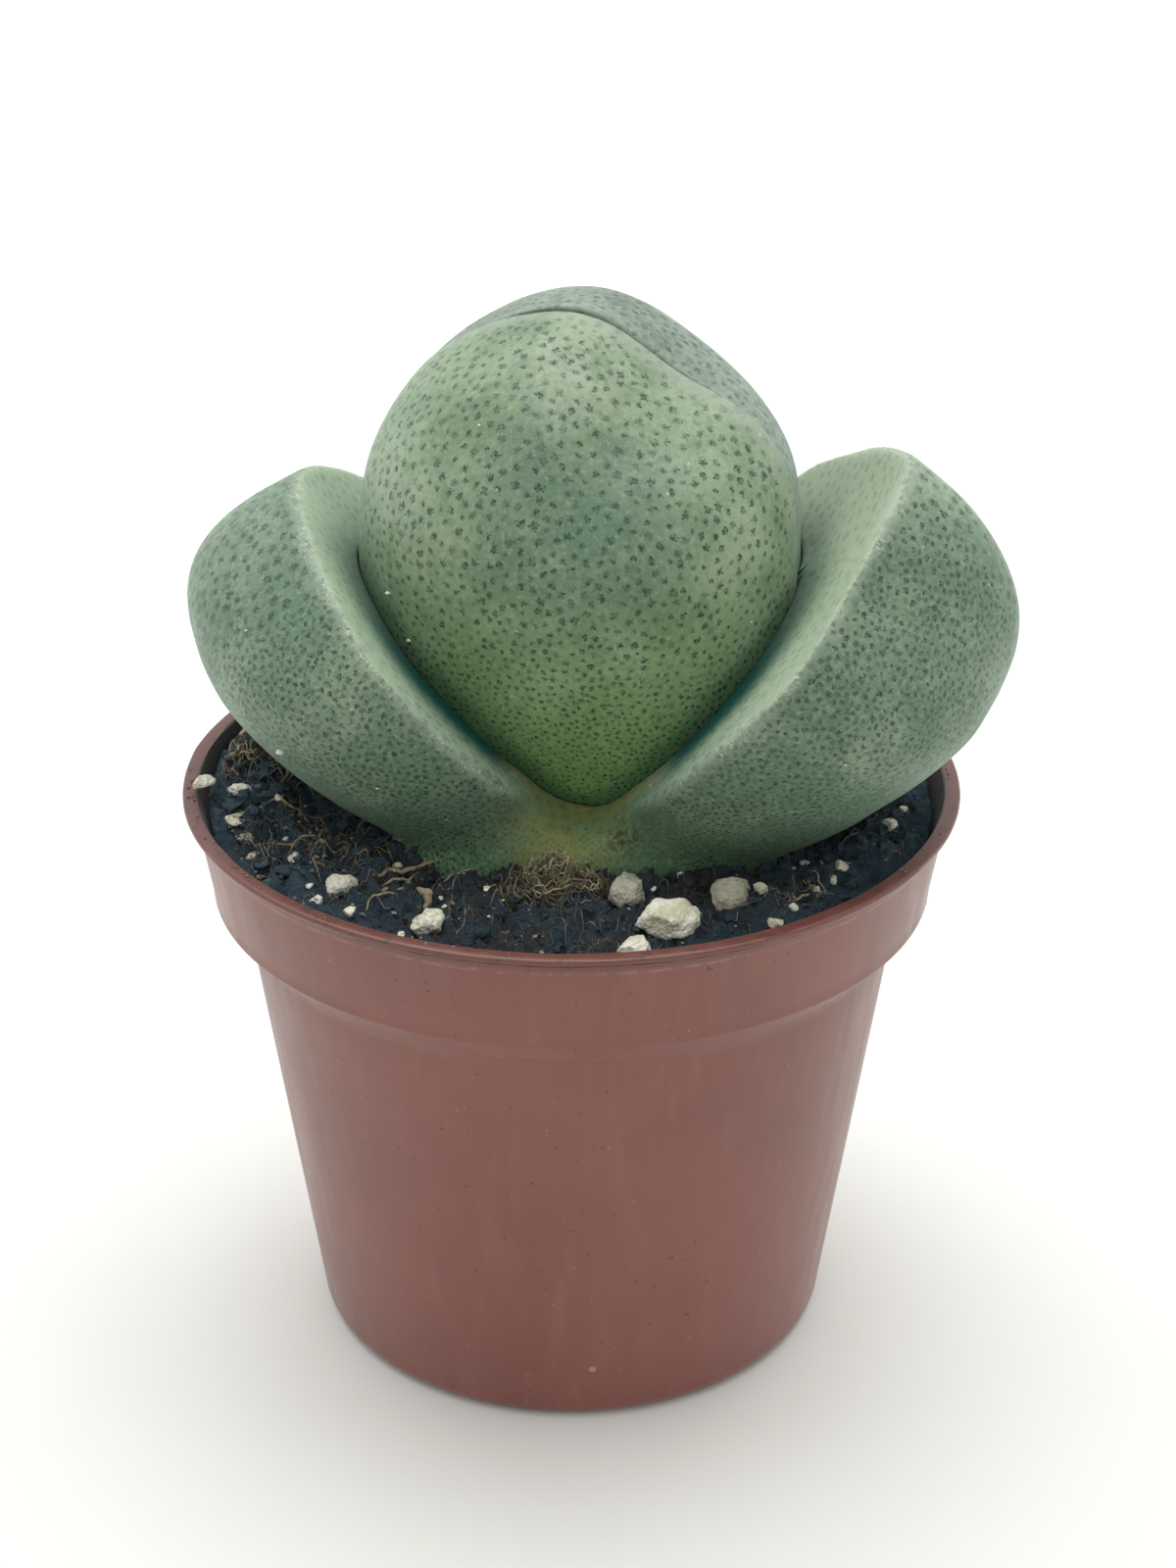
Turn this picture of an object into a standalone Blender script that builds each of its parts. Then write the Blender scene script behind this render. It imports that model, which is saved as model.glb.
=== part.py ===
"""A split rock plant of four fat leaves in a small round pot filled with peat.

Metres, +Z up. The origin is the middle of the pot's flat underside, +X is to the right and +Y is away
from the front. The split between the two upright leaves runs from side to side. Lengths below are in
millimetres, and MM turns them into metres.
"""
import math

import bmesh
import bpy
import numpy as np
from mathutils import Vector, noise

MM = 0.001
GAP = 0.3  # clearance between pieces that touch

# Pot: a thin moulded plastic pot with a deep collar and a small beaded lip
POT_HEIGHT = 42.3
POT_RIM_R = 27.5
POT_COLLAR_TOP_R = 26.7
POT_COLLAR_LOW_R = 25.64
POT_BODY_TOP_R = 23.3
POT_BASE_R = 19.0
POT_LIP_HEIGHT = 0.6
POT_COLLAR_LOW_Z = 34.7
POT_BODY_TOP_Z = 32.7
POT_WALL = 0.9
POT_FLOOR = 1.2
POT_FOOT_ROUND = 1.4
POT_STEPS = 60
DRAIN_HOLES = 5
DRAIN_R = 2.0
DRAIN_RING_R = 11.5

# Soil: a rough bed about 2 mm below the lip, heaped a little at the plant and at the left back
SOIL_LEVEL = 40.1
SOIL_MOUND = 0.9
SOIL_RELIEF = 0.75
SOIL_STEPS = 56
SOIL_RINGS = 13

# Leaves: half-widths, lengths and thicknesses of the flat-faced, round-backed leaves
LEAF_STEPS = 52
LEAF_EDGE = 0.7
LEAF_SOFTEN = 1.8  # how far the corners of a leaf's outline are rounded off
OUTLINE_SAMPLES = 360
FACE_RINGS = (0.38, 0.72, 1.0)
BACK_RINGS = 11

SEAM_X = 0.5  # where the two outer leaves have grown together, in front of and behind the inner pair
SHEATH_CENTRE = (0.5, -0.4, 38.5)  # the swollen base that the two outer leaves share
SHEATH_RADII = (10.0, 12.3, 4.6)

# Taproot: the fleshy root under the leaf bases
ROOT_PROFILE = ((0.9, 8.0), (1.5, 15.0), (2.3, 24.0), (3.3, 30.5), (5.0, 35.0), (7.0, 39.0))
ROOT_STEPS = 20

# Lumps of perlite lying in the soil: x, y, size along x, y and z, turn, seed
PERLITE = (
    (6.3, -19.2, 4.6, 3.6, 3.0, 0.5, 1),
    (4.2, -22.3, 2.4, 2.2, 2.2, 0.2, 2),
    (3.7, -15.3, 3.3, 2.8, 2.8, 1.1, 3),
    (10.8, -15.9, 3.4, 3.0, 2.6, 2.0, 4),
    (-15.6, -14.0, 3.0, 2.4, 2.4, 0.9, 5),
    (-9.4, -19.0, 2.3, 2.0, 2.3, 0.3, 6),
    (-21.6, -10.2, 1.9, 1.8, 1.7, 0.7, 7),
    (-22.3, 4.4, 2.6, 2.2, 2.0, 1.6, 8),
)


def unit(v):
    return v / np.linalg.norm(v)


def signed_power(x, e):
    return np.sign(x) * np.abs(x) ** e


def inner_leaf(side):
    """An upright leaf of the inner pair: side +1 is the front leaf and -1 is the back leaf."""
    yaw = math.radians(21.5)
    lean = math.radians(5.2)
    tilt = math.radians(2.0)
    across = np.array([math.cos(yaw), -math.sin(yaw), 0.0])
    front = np.array([-math.sin(yaw), -math.cos(yaw), 0.0])
    up = np.array([0.0, 0.0, 1.0]) * math.cos(lean) + front * math.sin(lean)
    outward = front * math.cos(lean) - np.array([0.0, 0.0, 1.0]) * math.sin(lean)
    along = up * math.cos(tilt) + across * math.sin(tilt)
    across = across * math.cos(tilt) - up * math.sin(tilt)
    leaf = dict(
        along=along,
        across=across,
        outward=outward * side,
        centre=np.array([1.1, 1.9, 65.1]) + outward * side * GAP / 2,
        tip=11.2,
        base=27.0,
        half_width=15.1,
        narrow=0.15,
        tip_power=1.8,
        base_power=2.75,
        thick=15.4,
        back_power=2.05,
        back_power_across=2.25,
        shift=-2.4,
        sway=0.0,
        slump=1.9,
        slump_deep=1.0,
        dish=0.0,
    )
    if side < 0:
        leaf.update(half_width=14.9, thick=13.4, back_power=2.5, shift=-1.0, sway=-2.8, slump_deep=0.2)
    return leaf


def outer_leaf(side):
    """A spread leaf of the outer pair: side -1 is the left leaf and +1 is the right leaf."""
    left = dict(rise=48.1, turn=-7.6, foot=(3.2, -0.3, 39.25), length=33.4, base_share=0.635,
                half_width=17.7, narrow=0.17, tip_power=1.75, base_power=1.75, thick=13.8,
                back_power=2.6, back_power_across=2.45, shift=3.3, dish=1.4)
    right = dict(rise=50.7, turn=10.5, foot=(-1.6, -0.5, 39.5), length=38.4, base_share=0.70,
                 half_width=15.3, narrow=0.33, tip_power=1.5, base_power=1.5, thick=16.1,
                 back_power=2.16, back_power_across=2.1, shift=0.6, dish=2.0)
    d = left if side < 0 else right
    rise, turn = math.radians(d["rise"]), math.radians(d["turn"])
    up = np.array([side * math.cos(rise), 0.0, math.sin(rise)])
    front = np.array([0.0, -1.0, 0.0])
    along = up * math.cos(turn) + front * math.sin(turn)
    across = front * math.cos(turn) - up * math.sin(turn)
    base = d["length"] * d["base_share"]
    return dict(
        along=along,
        across=across,
        outward=np.array([side * math.sin(rise), 0.0, -math.cos(rise)]),
        centre=np.array(d["foot"]) + along * base,
        tip=d["length"] - base,
        base=base,
        half_width=d["half_width"],
        narrow=d["narrow"],
        tip_power=d["tip_power"],
        base_power=d["base_power"],
        thick=d["thick"],
        back_power=d["back_power"],
        back_power_across=d["back_power_across"],
        shift=d["shift"],
        sway=0.0,
        slump=0.0,
        slump_deep=0.0,
        dish=d["dish"],
    )


def leaf_outline(leaf, steps):
    """Points round the flat face, evenly spaced, as distances along and across from its middle."""
    turn = np.linspace(0.0, 2.0 * math.pi, 721)
    power = np.where(np.cos(turn) > 0.0, leaf["tip_power"], leaf["base_power"])
    c = signed_power(np.cos(turn), 2.0 / power)
    s = signed_power(np.sin(turn), 2.0 / power)
    w = leaf["half_width"] * s * (1.0 - leaf["narrow"] * c)
    slump = leaf["slump"] * np.exp(-((w - 6.5) / 4.0) ** 2)
    a = np.where(c > 0.0, leaf["tip"] * c - slump, leaf["base"] * c)
    run = np.concatenate(([0.0], np.cumsum(np.hypot(np.diff(a), np.diff(w)))))
    even = run[-1] * np.arange(OUTLINE_SAMPLES) / OUTLINE_SAMPLES
    points = np.interp(even, run, a) + 1j * np.interp(even, run, w)
    waves = np.fft.fftfreq(OUTLINE_SAMPLES, run[-1] / OUTLINE_SAMPLES) * 2.0 * math.pi
    soft = np.fft.ifft(np.fft.fft(points) * np.exp(-0.5 * (waves * LEAF_SOFTEN) ** 2))
    soft = np.append(soft, soft[0])
    pick = np.arange(steps) * OUTLINE_SAMPLES / steps
    at = np.arange(OUTLINE_SAMPLES + 1)
    return np.interp(pick, at, soft.real), np.interp(pick, at, soft.imag)


def leaf_rings(leaf, steps):
    """Rings of points from the middle of the flat face, over its edge, to the middle of the back."""
    a, w = leaf_outline(leaf, steps)
    inset = 1.0 - LEAF_EDGE / np.hypot(a, w)
    deep_a, deep_w = leaf_outline({**leaf, "slump": leaf["slump"] * leaf["slump_deep"]}, steps)

    def ring(ra, rw, depth, shift=0.0, sway=0.0, deep=0.0):
        return (leaf["centre"]
                + np.outer(ra * (a + deep * (deep_a - a)) + shift, leaf["along"])
                + np.outer(rw * (w + deep * (deep_w - w)) + sway, leaf["across"])
                + np.outer(depth * np.ones(steps), leaf["outward"]))

    rings = []
    for r in FACE_RINGS:
        rings.append(ring(r * inset, r * inset, leaf["dish"] * (1.0 - r * r)))
    mid = 1.0 - 0.293 * (1.0 - inset)
    rings.append(ring(mid, mid, 0.293 * LEAF_EDGE))
    for k in range(BACK_RINGS):
        lift = 0.5 * math.pi * k / BACK_RINGS
        h = math.sin(lift) ** (2.0 / leaf["back_power"])
        ra = math.cos(lift) ** (2.0 / leaf["back_power"])
        rw = math.cos(lift) ** (2.0 / leaf["back_power_across"])
        depth = LEAF_EDGE + (leaf["thick"] - LEAF_EDGE) * h
        rings.append(ring(ra, rw, depth, leaf["shift"] * h, leaf["sway"] * h, min(1.0, 2.5 * h)))
    first = leaf["centre"] + leaf["outward"] * leaf["dish"]
    last = (leaf["centre"] + leaf["along"] * leaf["shift"] + leaf["across"] * leaf["sway"]
            + leaf["outward"] * leaf["thick"])
    return first, rings, last


def sheath():
    """The swollen base of the outer pair, as a bmesh."""
    bm = bmesh.new()
    bmesh.ops.create_uvsphere(bm, u_segments=36, v_segments=16, radius=1.0)
    for v in bm.verts:
        v.co = Vector([(c + r * p) * MM for c, r, p in zip(SHEATH_CENTRE, SHEATH_RADII, v.co)])
    return bm


def beyond_seam(side):
    """A block that covers everything past the seam, seen from one outer leaf."""
    bm = bmesh.new()
    bmesh.ops.create_cube(bm, size=80.0 * MM)
    for v in bm.verts:
        v.co += Vector((SEAM_X + side * (GAP / 2 - 40.0), 0.7, 48.8)) * MM
    return bm


def mesh_of_rings(first, rings, last):
    """A closed bmesh from a first point, rings of equal count and a last point."""
    bm = bmesh.new()
    start = bm.verts.new(Vector(first) * MM)
    loops = [[bm.verts.new(Vector(p) * MM) for p in ring] for ring in rings]
    end = bm.verts.new(Vector(last) * MM)
    n = len(loops[0])
    for i in range(n):
        j = (i + 1) % n
        bm.faces.new((start, loops[0][i], loops[0][j]))
        bm.faces.new((end, loops[-1][j], loops[-1][i]))
        for lower, upper in zip(loops[:-1], loops[1:]):
            bm.faces.new((lower[i], upper[i], upper[j], lower[j]))
    bmesh.ops.recalc_face_normals(bm, faces=bm.faces)
    return bm


def lathe(profile, steps):
    """A closed bmesh turned from a profile of (radius, height) that starts and ends on the axis."""
    rings = []
    for r, z in profile:
        rings.append([(r * math.cos(2 * math.pi * i / steps), r * math.sin(2 * math.pi * i / steps), z)
                      for i in range(steps)])
    return mesh_of_rings((0, 0, profile[0][1]), rings, (0, 0, profile[-1][1]))


def grown(bm, amount):
    """A copy of a bmesh with each point moved out along its normal."""
    copy = bm.copy()
    copy.normal_update()
    moves = [v.normal * amount * MM for v in copy.verts]
    for v, move in zip(copy.verts, moves):
        v.co += move
    return copy


def material(name, colour, roughness):
    mat = bpy.data.materials.new(name)
    mat.use_nodes = True
    shader = mat.node_tree.nodes["Principled BSDF"]
    shader.inputs["Base Color"].default_value = (*colour, 1.0)
    shader.inputs["Roughness"].default_value = roughness
    shader.inputs["Metallic"].default_value = 0.0
    return mat


def add_object(name, bm, mat, smooth_angle=35.0):
    mesh = bpy.data.meshes.new(name)
    bmesh.ops.triangulate(bm, faces=[f for f in bm.faces if len(f.verts) > 4])
    bm.to_mesh(mesh)
    mesh.shade_smooth()
    mesh.set_sharp_from_angle(angle=math.radians(smooth_angle))
    mesh.materials.append(mat)
    obj = bpy.data.objects.new(name, mesh)
    bpy.context.scene.collection.objects.link(obj)
    return obj


def add_cutter(name, bm):
    mesh = bpy.data.meshes.new(name)
    bm.to_mesh(mesh)
    obj = bpy.data.objects.new(name, mesh)
    bpy.context.scene.collection.objects.link(obj)
    obj.hide_render = True
    obj.display_type = "WIRE"
    return obj


def combine(obj, others, operation):
    for other in others:
        mod = obj.modifiers.new(operation.lower() + "_" + other.name, "BOOLEAN")
        mod.operation = operation
        mod.solver = "EXACT"
        mod.object = other


def cut(obj, cutters):
    combine(obj, cutters, "DIFFERENCE")


def pot_inner_r(z):
    """Radius of the pot's inner wall at a height."""
    heights = (POT_FLOOR, POT_BODY_TOP_Z + 0.5, POT_COLLAR_LOW_Z + 0.4, POT_HEIGHT)
    radii = (POT_BASE_R - POT_WALL, POT_BODY_TOP_R - POT_WALL, POT_COLLAR_LOW_R - POT_WALL - 0.1,
             POT_RIM_R - POT_WALL - 0.25)
    return float(np.interp(z, heights, radii))


def pot():
    foot = [(6.0, 0.0)]
    for k in range(3):
        a = 0.5 * math.pi * k / 2
        foot.append((POT_BASE_R - POT_FOOT_ROUND * (1 - math.sin(a)), POT_FOOT_ROUND * (1 - math.cos(a))))
    lip_z = POT_HEIGHT - POT_LIP_HEIGHT
    outside = [
        (POT_BODY_TOP_R - 0.12, POT_BODY_TOP_Z - 0.8),
        (POT_BODY_TOP_R + 0.35, POT_BODY_TOP_Z),
        (POT_COLLAR_LOW_R - 0.35, POT_COLLAR_LOW_Z - 0.3),
        (POT_COLLAR_LOW_R, POT_COLLAR_LOW_Z + 0.2),
        (POT_COLLAR_TOP_R, lip_z - 0.25),
        (POT_RIM_R, lip_z + 0.05),
        (POT_RIM_R, POT_HEIGHT - 0.2),
        (POT_RIM_R - 0.2, POT_HEIGHT),
    ]
    inside = [
        (POT_RIM_R - 0.95, POT_HEIGHT),
        (pot_inner_r(POT_HEIGHT), POT_HEIGHT - 0.2),
        (pot_inner_r(POT_COLLAR_LOW_Z + 0.4), POT_COLLAR_LOW_Z + 0.4),
        (pot_inner_r(POT_BODY_TOP_Z + 0.5), POT_BODY_TOP_Z + 0.5),
        (pot_inner_r(POT_FLOOR), POT_FLOOR),
        (6.0, POT_FLOOR),
    ]
    body = add_object("pot", lathe(foot + outside + inside, POT_STEPS),
                      material("pot", (0.235, 0.088, 0.070), 0.45))
    for k in range(DRAIN_HOLES):
        angle = 2 * math.pi * (k + 0.53) / DRAIN_HOLES
        bm = bmesh.new()
        bmesh.ops.create_cone(bm, cap_ends=True, segments=16, radius1=DRAIN_R * MM, radius2=DRAIN_R * MM,
                              depth=6.0 * MM)
        for v in bm.verts:
            v.co += Vector((DRAIN_RING_R * math.cos(angle), DRAIN_RING_R * math.sin(angle), 0)) * MM
        cut(body, [add_cutter("drain_cutter_%d" % (k + 1), bm)])
    return body


def soil_height(x, y):
    """Height of the soil's rough top."""
    r = math.hypot(x, y)
    z = SOIL_LEVEL + SOIL_MOUND * math.exp(-((r - 9.0) / 7.0) ** 2)
    z += 0.9 * math.exp(-((x + 19.0) ** 2 + (y - 9.0) ** 2) / 90.0)
    z += SOIL_RELIEF * noise.noise(Vector((x * 0.36, y * 0.36, 3.1)))
    z += 0.7 * SOIL_RELIEF * noise.noise(Vector((x * 0.9, y * 0.9, 7.7)))
    return z - 0.5 * max(0.0, (r - 21.0) / 4.0)


def soil():
    edge = pot_inner_r(SOIL_LEVEL) - GAP
    rings = []
    for wall_z in (POT_FLOOR, POT_BODY_TOP_Z + 0.5, POT_COLLAR_LOW_Z + 0.4):
        z = wall_z + GAP
        r = pot_inner_r(wall_z) - GAP
        rings.append([(r * math.cos(2 * math.pi * i / SOIL_STEPS), r * math.sin(2 * math.pi * i / SOIL_STEPS), z)
                      for i in range(SOIL_STEPS)])
    for k in range(SOIL_RINGS):
        r = edge * (1.0 - k / SOIL_RINGS)
        ring = []
        for i in range(SOIL_STEPS):
            a = 2 * math.pi * i / SOIL_STEPS
            x, y = r * math.cos(a), r * math.sin(a)
            z = soil_height(x, y)
            if k == 0:
                z -= 0.5
                x *= (pot_inner_r(z) - GAP) / r
                y *= (pot_inner_r(z) - GAP) / r
            ring.append((x, y, z))
        rings.append(ring)
    bm = mesh_of_rings((0, 0, POT_FLOOR + GAP), rings, (0, 0, soil_height(0, 0)))
    return add_object("soil", bm, material("soil", (0.022, 0.019, 0.017), 0.95), 60.0)


def perlite_lump(x, y, size_x, size_y, size_z, turn, seed):
    ball = bmesh.new()
    bmesh.ops.create_icosphere(ball, subdivisions=2, radius=0.5)
    rng = np.random.default_rng(seed)
    planes = [(unit(rng.normal(size=3)), 0.34 + 0.1 * rng.random()) for _ in range(7)]
    z = soil_height(x, y) + 0.12 * size_z
    bm = bmesh.new()
    for v in ball.verts:
        p = np.array(v.co)
        for normal, reach in planes:
            over = float(p @ normal) - reach
            if over > 0.0:
                p = p - normal * over
        px, py, pz = p[0] * size_x, p[1] * size_y, p[2] * size_z
        bm.verts.new(Vector((x + px * math.cos(turn) - py * math.sin(turn),
                             y + px * math.sin(turn) + py * math.cos(turn), z + pz)) * MM)
    ball.free()
    bmesh.ops.remove_doubles(bm, verts=bm.verts, dist=0.25 * MM)
    bmesh.ops.convex_hull(bm, input=bm.verts)
    bmesh.ops.delete(bm, geom=[v for v in bm.verts if not v.link_faces], context="VERTS")
    bmesh.ops.recalc_face_normals(bm, faces=bm.faces)
    return bm


def main():
    for obj in list(bpy.data.objects):
        bpy.data.objects.remove(obj, do_unlink=True)

    pot()
    bed = soil()

    leaf_colours = {
        "inner_leaf_front": (0.150, 0.215, 0.130),
        "inner_leaf_back": (0.140, 0.205, 0.140),
        "outer_leaf_left": (0.125, 0.185, 0.145),
        "outer_leaf_right": (0.125, 0.185, 0.140),
    }
    shapes = {
        "inner_leaf_front": inner_leaf(1),
        "inner_leaf_back": inner_leaf(-1),
        "outer_leaf_left": outer_leaf(-1),
        "outer_leaf_right": outer_leaf(1),
    }
    clearers = {}
    leaves = {}
    for name, leaf in shapes.items():
        bm = mesh_of_rings(*leaf_rings(leaf, LEAF_STEPS))
        clearers[name] = add_cutter(name + "_clearance", grown(bm, GAP + 0.05))
        leaves[name] = add_object(name, bm, material(name, leaf_colours[name], 0.6))
    inner_cutters = [clearers["inner_leaf_front"], clearers["inner_leaf_back"]]
    base = add_cutter("sheath", sheath())
    for name, side in (("outer_leaf_left", -1), ("outer_leaf_right", 1)):
        combine(leaves[name], [base], "UNION")
        cut(leaves[name], [add_cutter(name + "_seam", beyond_seam(side)), *inner_cutters])

    root_bm = lathe(ROOT_PROFILE, ROOT_STEPS)
    root_clearer = add_cutter("taproot_clearance", grown(root_bm, GAP + 0.05))
    root = add_object("taproot", root_bm, material("taproot", (0.20, 0.13, 0.07), 0.8))
    clearers["sheath"] = add_cutter("sheath_clearance", grown(sheath(), GAP + 0.05))
    cut(root, clearers.values())
    cut(bed, [*clearers.values(), root_clearer])

    for k, lump in enumerate(PERLITE):
        bm = perlite_lump(*lump)
        clearer = add_cutter("perlite_%d_clearance" % (k + 1), grown(bm, GAP + 0.05))
        stone = add_object("perlite_%d" % (k + 1), bm, material("perlite_%d" % (k + 1), (0.62, 0.60, 0.53), 0.9), 20.0)
        cut(bed, [clearer])


main()
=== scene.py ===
"""A split rock plant in a small terracotta-coloured plastic pot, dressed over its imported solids.

Metres, +Z up, in the frame of the solids. Lengths in the tables are millimetres, and MM makes them metres.
"""
from math import cos, exp, hypot, pi, radians, sin, sqrt

import bmesh
import bpy
import numpy as np
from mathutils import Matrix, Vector, kdtree, noise
from mathutils.bvhtree import BVHTree

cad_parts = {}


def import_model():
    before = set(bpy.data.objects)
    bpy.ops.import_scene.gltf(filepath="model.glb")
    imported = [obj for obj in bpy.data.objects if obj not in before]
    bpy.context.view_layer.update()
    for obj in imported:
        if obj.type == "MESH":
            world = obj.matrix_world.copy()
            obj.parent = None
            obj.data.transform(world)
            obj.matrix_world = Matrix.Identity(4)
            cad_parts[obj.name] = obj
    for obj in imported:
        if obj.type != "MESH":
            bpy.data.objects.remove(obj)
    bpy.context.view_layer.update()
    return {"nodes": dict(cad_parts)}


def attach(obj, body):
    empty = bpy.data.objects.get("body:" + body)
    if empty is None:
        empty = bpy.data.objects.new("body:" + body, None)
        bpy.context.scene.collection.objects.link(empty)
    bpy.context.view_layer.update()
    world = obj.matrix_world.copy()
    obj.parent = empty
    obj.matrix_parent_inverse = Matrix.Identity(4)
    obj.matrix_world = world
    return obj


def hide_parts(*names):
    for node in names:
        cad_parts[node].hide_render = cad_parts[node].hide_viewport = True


MM = 0.001
GAP = 0.3

# Pot
POT_HEIGHT = 42.3
POT_RIM_R = 27.5
POT_COLLAR_TOP_R = 26.7
POT_COLLAR_LOW_R = 25.64
POT_BODY_TOP_R = 23.3
POT_BASE_R = 19.0
POT_LIP_HEIGHT = 0.6
POT_COLLAR_LOW_Z = 34.7
POT_BODY_TOP_Z = 32.7
POT_WALL = 0.9
POT_FLOOR = 1.2
POT_FOOT_ROUND = 1.4
POT_STEPS = 240
DRAIN_HOLES = 5
DRAIN_R = 2.0
DRAIN_RING_R = 11.5
DIRTY_SPOTS = (188.0, 205.0, 222.0, 250.0, 330.0, 20.0)

# Soil
SOIL_LEVEL = 40.1
SOIL_MOUND = 0.9
SOIL_RELIEF = 0.75
SOIL_EDGE_R = 25.0
SOIL_STEPS = 560
SOIL_RINGS = 112
FIBRE_STEPS = 9

# Leaves
SPLIT = 0.1
INNER_EDGE = 0.18
OUTER_EDGE = 0.6
LEAF_SOFTEN = 1.8
OUTLINE_SAMPLES = 360
SHEATH_CENTRE = (0.5, -0.4, 38.5)
SHEATH_RADII = (10.0, 12.3, 4.6)
BRIDGE_CENTRE = (0.6, -8.8, 38.6)
BRIDGE_RADII = (13.5, 5.2, 5.6)
UNEVENNESS = 0.22
VOXEL = 0.29
SMOOTHING_ROUNDS = 320
SMOOTHED_ALL_OVER = 8

# How finely the leaves are meshed: steps around, rings on the flat face, on the edge and on the back
INNER_MESH = (320, 36, 10, 150)
OUTER_MESH = (200, 20, 5, 70)

# Dots on the leaves: heights, and how far apart the dots lie there
INNER_DOTS = ((43.5, 48.5, 54.5, 60.5, 68.5, 75.5), (0.30, 0.36, 0.50, 0.70, 0.80, 0.72))
OUTER_DOTS = ((40.5, 45.5, 51.5, 58.5, 66.5), (0.30, 0.35, 0.43, 0.50, 0.56))
DOT_CORE = 0.04

# Camera: place in metres, degrees above level, focal length and sideways shift
CAMERA_PLACE = (0.0, -0.1886, 0.1328)
CAMERA_PITCH = -25.87
CAMERA_LENS = 67.5
CAMERA_SHIFT = 0.0106

# Light: place, aim and size in metres, power, and the strength of the white surroundings
LIGHT_PLACE = (0.0, 0.15, 0.75)
LIGHT_AIM = (0.0, 0.0, 0.05)
LIGHT_SIZE = (0.9, 0.7)
LIGHT_POWER = 5.2
WORLD_STRENGTH = 0.84

# Lumps of perlite: x, y, size along x, y and z, turn, seed
PERLITE = (
    (6.3, -19.2, 4.6, 3.6, 3.0, 0.5, 1),
    (4.2, -22.3, 2.4, 2.2, 2.2, 0.2, 2),
    (3.7, -15.3, 3.3, 2.8, 2.8, 1.1, 3),
    (10.8, -15.9, 3.4, 3.0, 2.6, 2.0, 4),
    (-15.6, -14.0, 3.0, 2.4, 2.4, 0.9, 5),
    (-9.4, -19.0, 2.3, 2.0, 2.3, 0.3, 6),
    (-21.6, -10.2, 1.9, 1.8, 1.7, 0.7, 7),
    (-22.3, 4.4, 2.6, 2.2, 2.0, 1.6, 8),
)

# How grey each of those lumps is
DULLNESS = (0.0, 0.1, 0.85, 0.6, 0.15, 0.1, 0.3, 0.2)

# Smaller grains of perlite: x, y, size, and a height for one that lies on the lip
GRAINS = (
    (7.3, -13.2, 1.2),
    (12.6, -16.0, 1.4),
    (13.5, -19.4, 1.3),
    (14.6, -18.6, 0.8),
    (22.0, -6.4, 1.7),
    (23.4, -3.2, 1.2),
    (23.6, 1.2, 1.0),
    (17.6, -13.6, 1.0),
    (16.5, -14.4, 0.9),
    (-16.9, -15.6, 1.3),
    (-22.4, -8.4, 1.6),
    (-18.9, -10.7, 1.2),
    (-24.3, -6.6, 1.9),
    (-25.9, -2.6, 1.9, 42.3),
    (-23.4, 6.4, 2.1),
    (-23.3, -2.4, 1.9),
    (-19.6, -7.9, 1.0),
    (-17.0, -9.0, 0.8),
    (-20.4, -3.9, 0.9),
    (-20.8, 1.2, 1.2),
    (-5.7, -15.4, 0.6),
    (-14.5, -18.6, 1.2),
    (-11.2, -20.6, 1.0),
    (-8.3, -17.3, 0.9),
    (19.0, 14.0, 1.6),
    (3.0, 21.5, 1.8),
    (-9.5, 20.0, 1.3),
    (12.0, 20.4, 1.1),
    (18.4, -12.0, 1.5),
)

# White crumbs that cling to the leaves: x, z, size
LEAF_DUST = (
    (-19.4, 49.3, 0.80),
    (11.9, 57.5, 0.30),
    (-21.5, 57.0, 0.28),
    (-6.0, 70.5, 0.22),
    (5.5, 63.0, 0.18),
    (17.5, 52.0, 0.25),
    (-12.8, 47.8, 0.25),
    (-1.5, 52.5, 0.18),
    (-12.2, 58.6, 0.50),
    (-10.9, 55.6, 0.42),
)

# Thick dry strands on the soil: from x, y to x, y, bow, rise, radius
STRANDS = (
    (-13.3, -13.6, -8.8, -11.6, 0.10, 0.45, 0.17),
    (-12.6, -14.3, -10.2, -12.3, -0.12, 0.35, 0.11),
    (-8.6, -13.6, -6.4, -12.6, 0.15, 0.30, 0.09),
    (-10.4, -14.9, -9.4, -17.2, 0.12, 0.60, 0.30),
    (14.2, -16.9, 17.0, -15.4, 0.12, 0.35, 0.10),
    (-22.6, 3.5, -20.6, -2.1, 0.15, 0.50, 0.13),
    (-25.0, 1.2, -23.4, 5.0, -0.12, 0.40, 0.11),
    (-21.8, -4.2, -18.4, -5.4, 0.18, 0.50, 0.10),
    (-20.0, -9.6, -17.4, -7.6, -0.15, 0.40, 0.10),
    (-13.6, -16.8, -11.8, -15.4, 0.20, 0.40, 0.08),
    (-3.2, -16.2, 1.0, -15.9, -0.16, 0.75, 0.08),
    (-3.6, -15.2, 0.4, -14.0, 0.18, 0.90, 0.08),
    (-0.6, -15.4, 2.6, -15.0, 0.20, 0.75, 0.07),
)

# Where the soil is heaped: x, y, height, reach
HEAPS = (
    (-1.1, -15.0, 0.8, 2.6),
    (-22.0, 2.5, 1.5, 5.0),
    (-23.0, -5.5, 0.9, 3.4),
    (-19.0, 14.0, 1.2, 5.0),
    (9.5, -13.2, 0.6, 2.0),
    (13.5, -17.6, 0.8, 2.4),
    (-13.2, -12.2, 0.7, 2.2),
    (22.0, -7.5, 0.7, 2.6),
    (16.0, 17.0, 1.0, 4.0),
)

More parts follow.
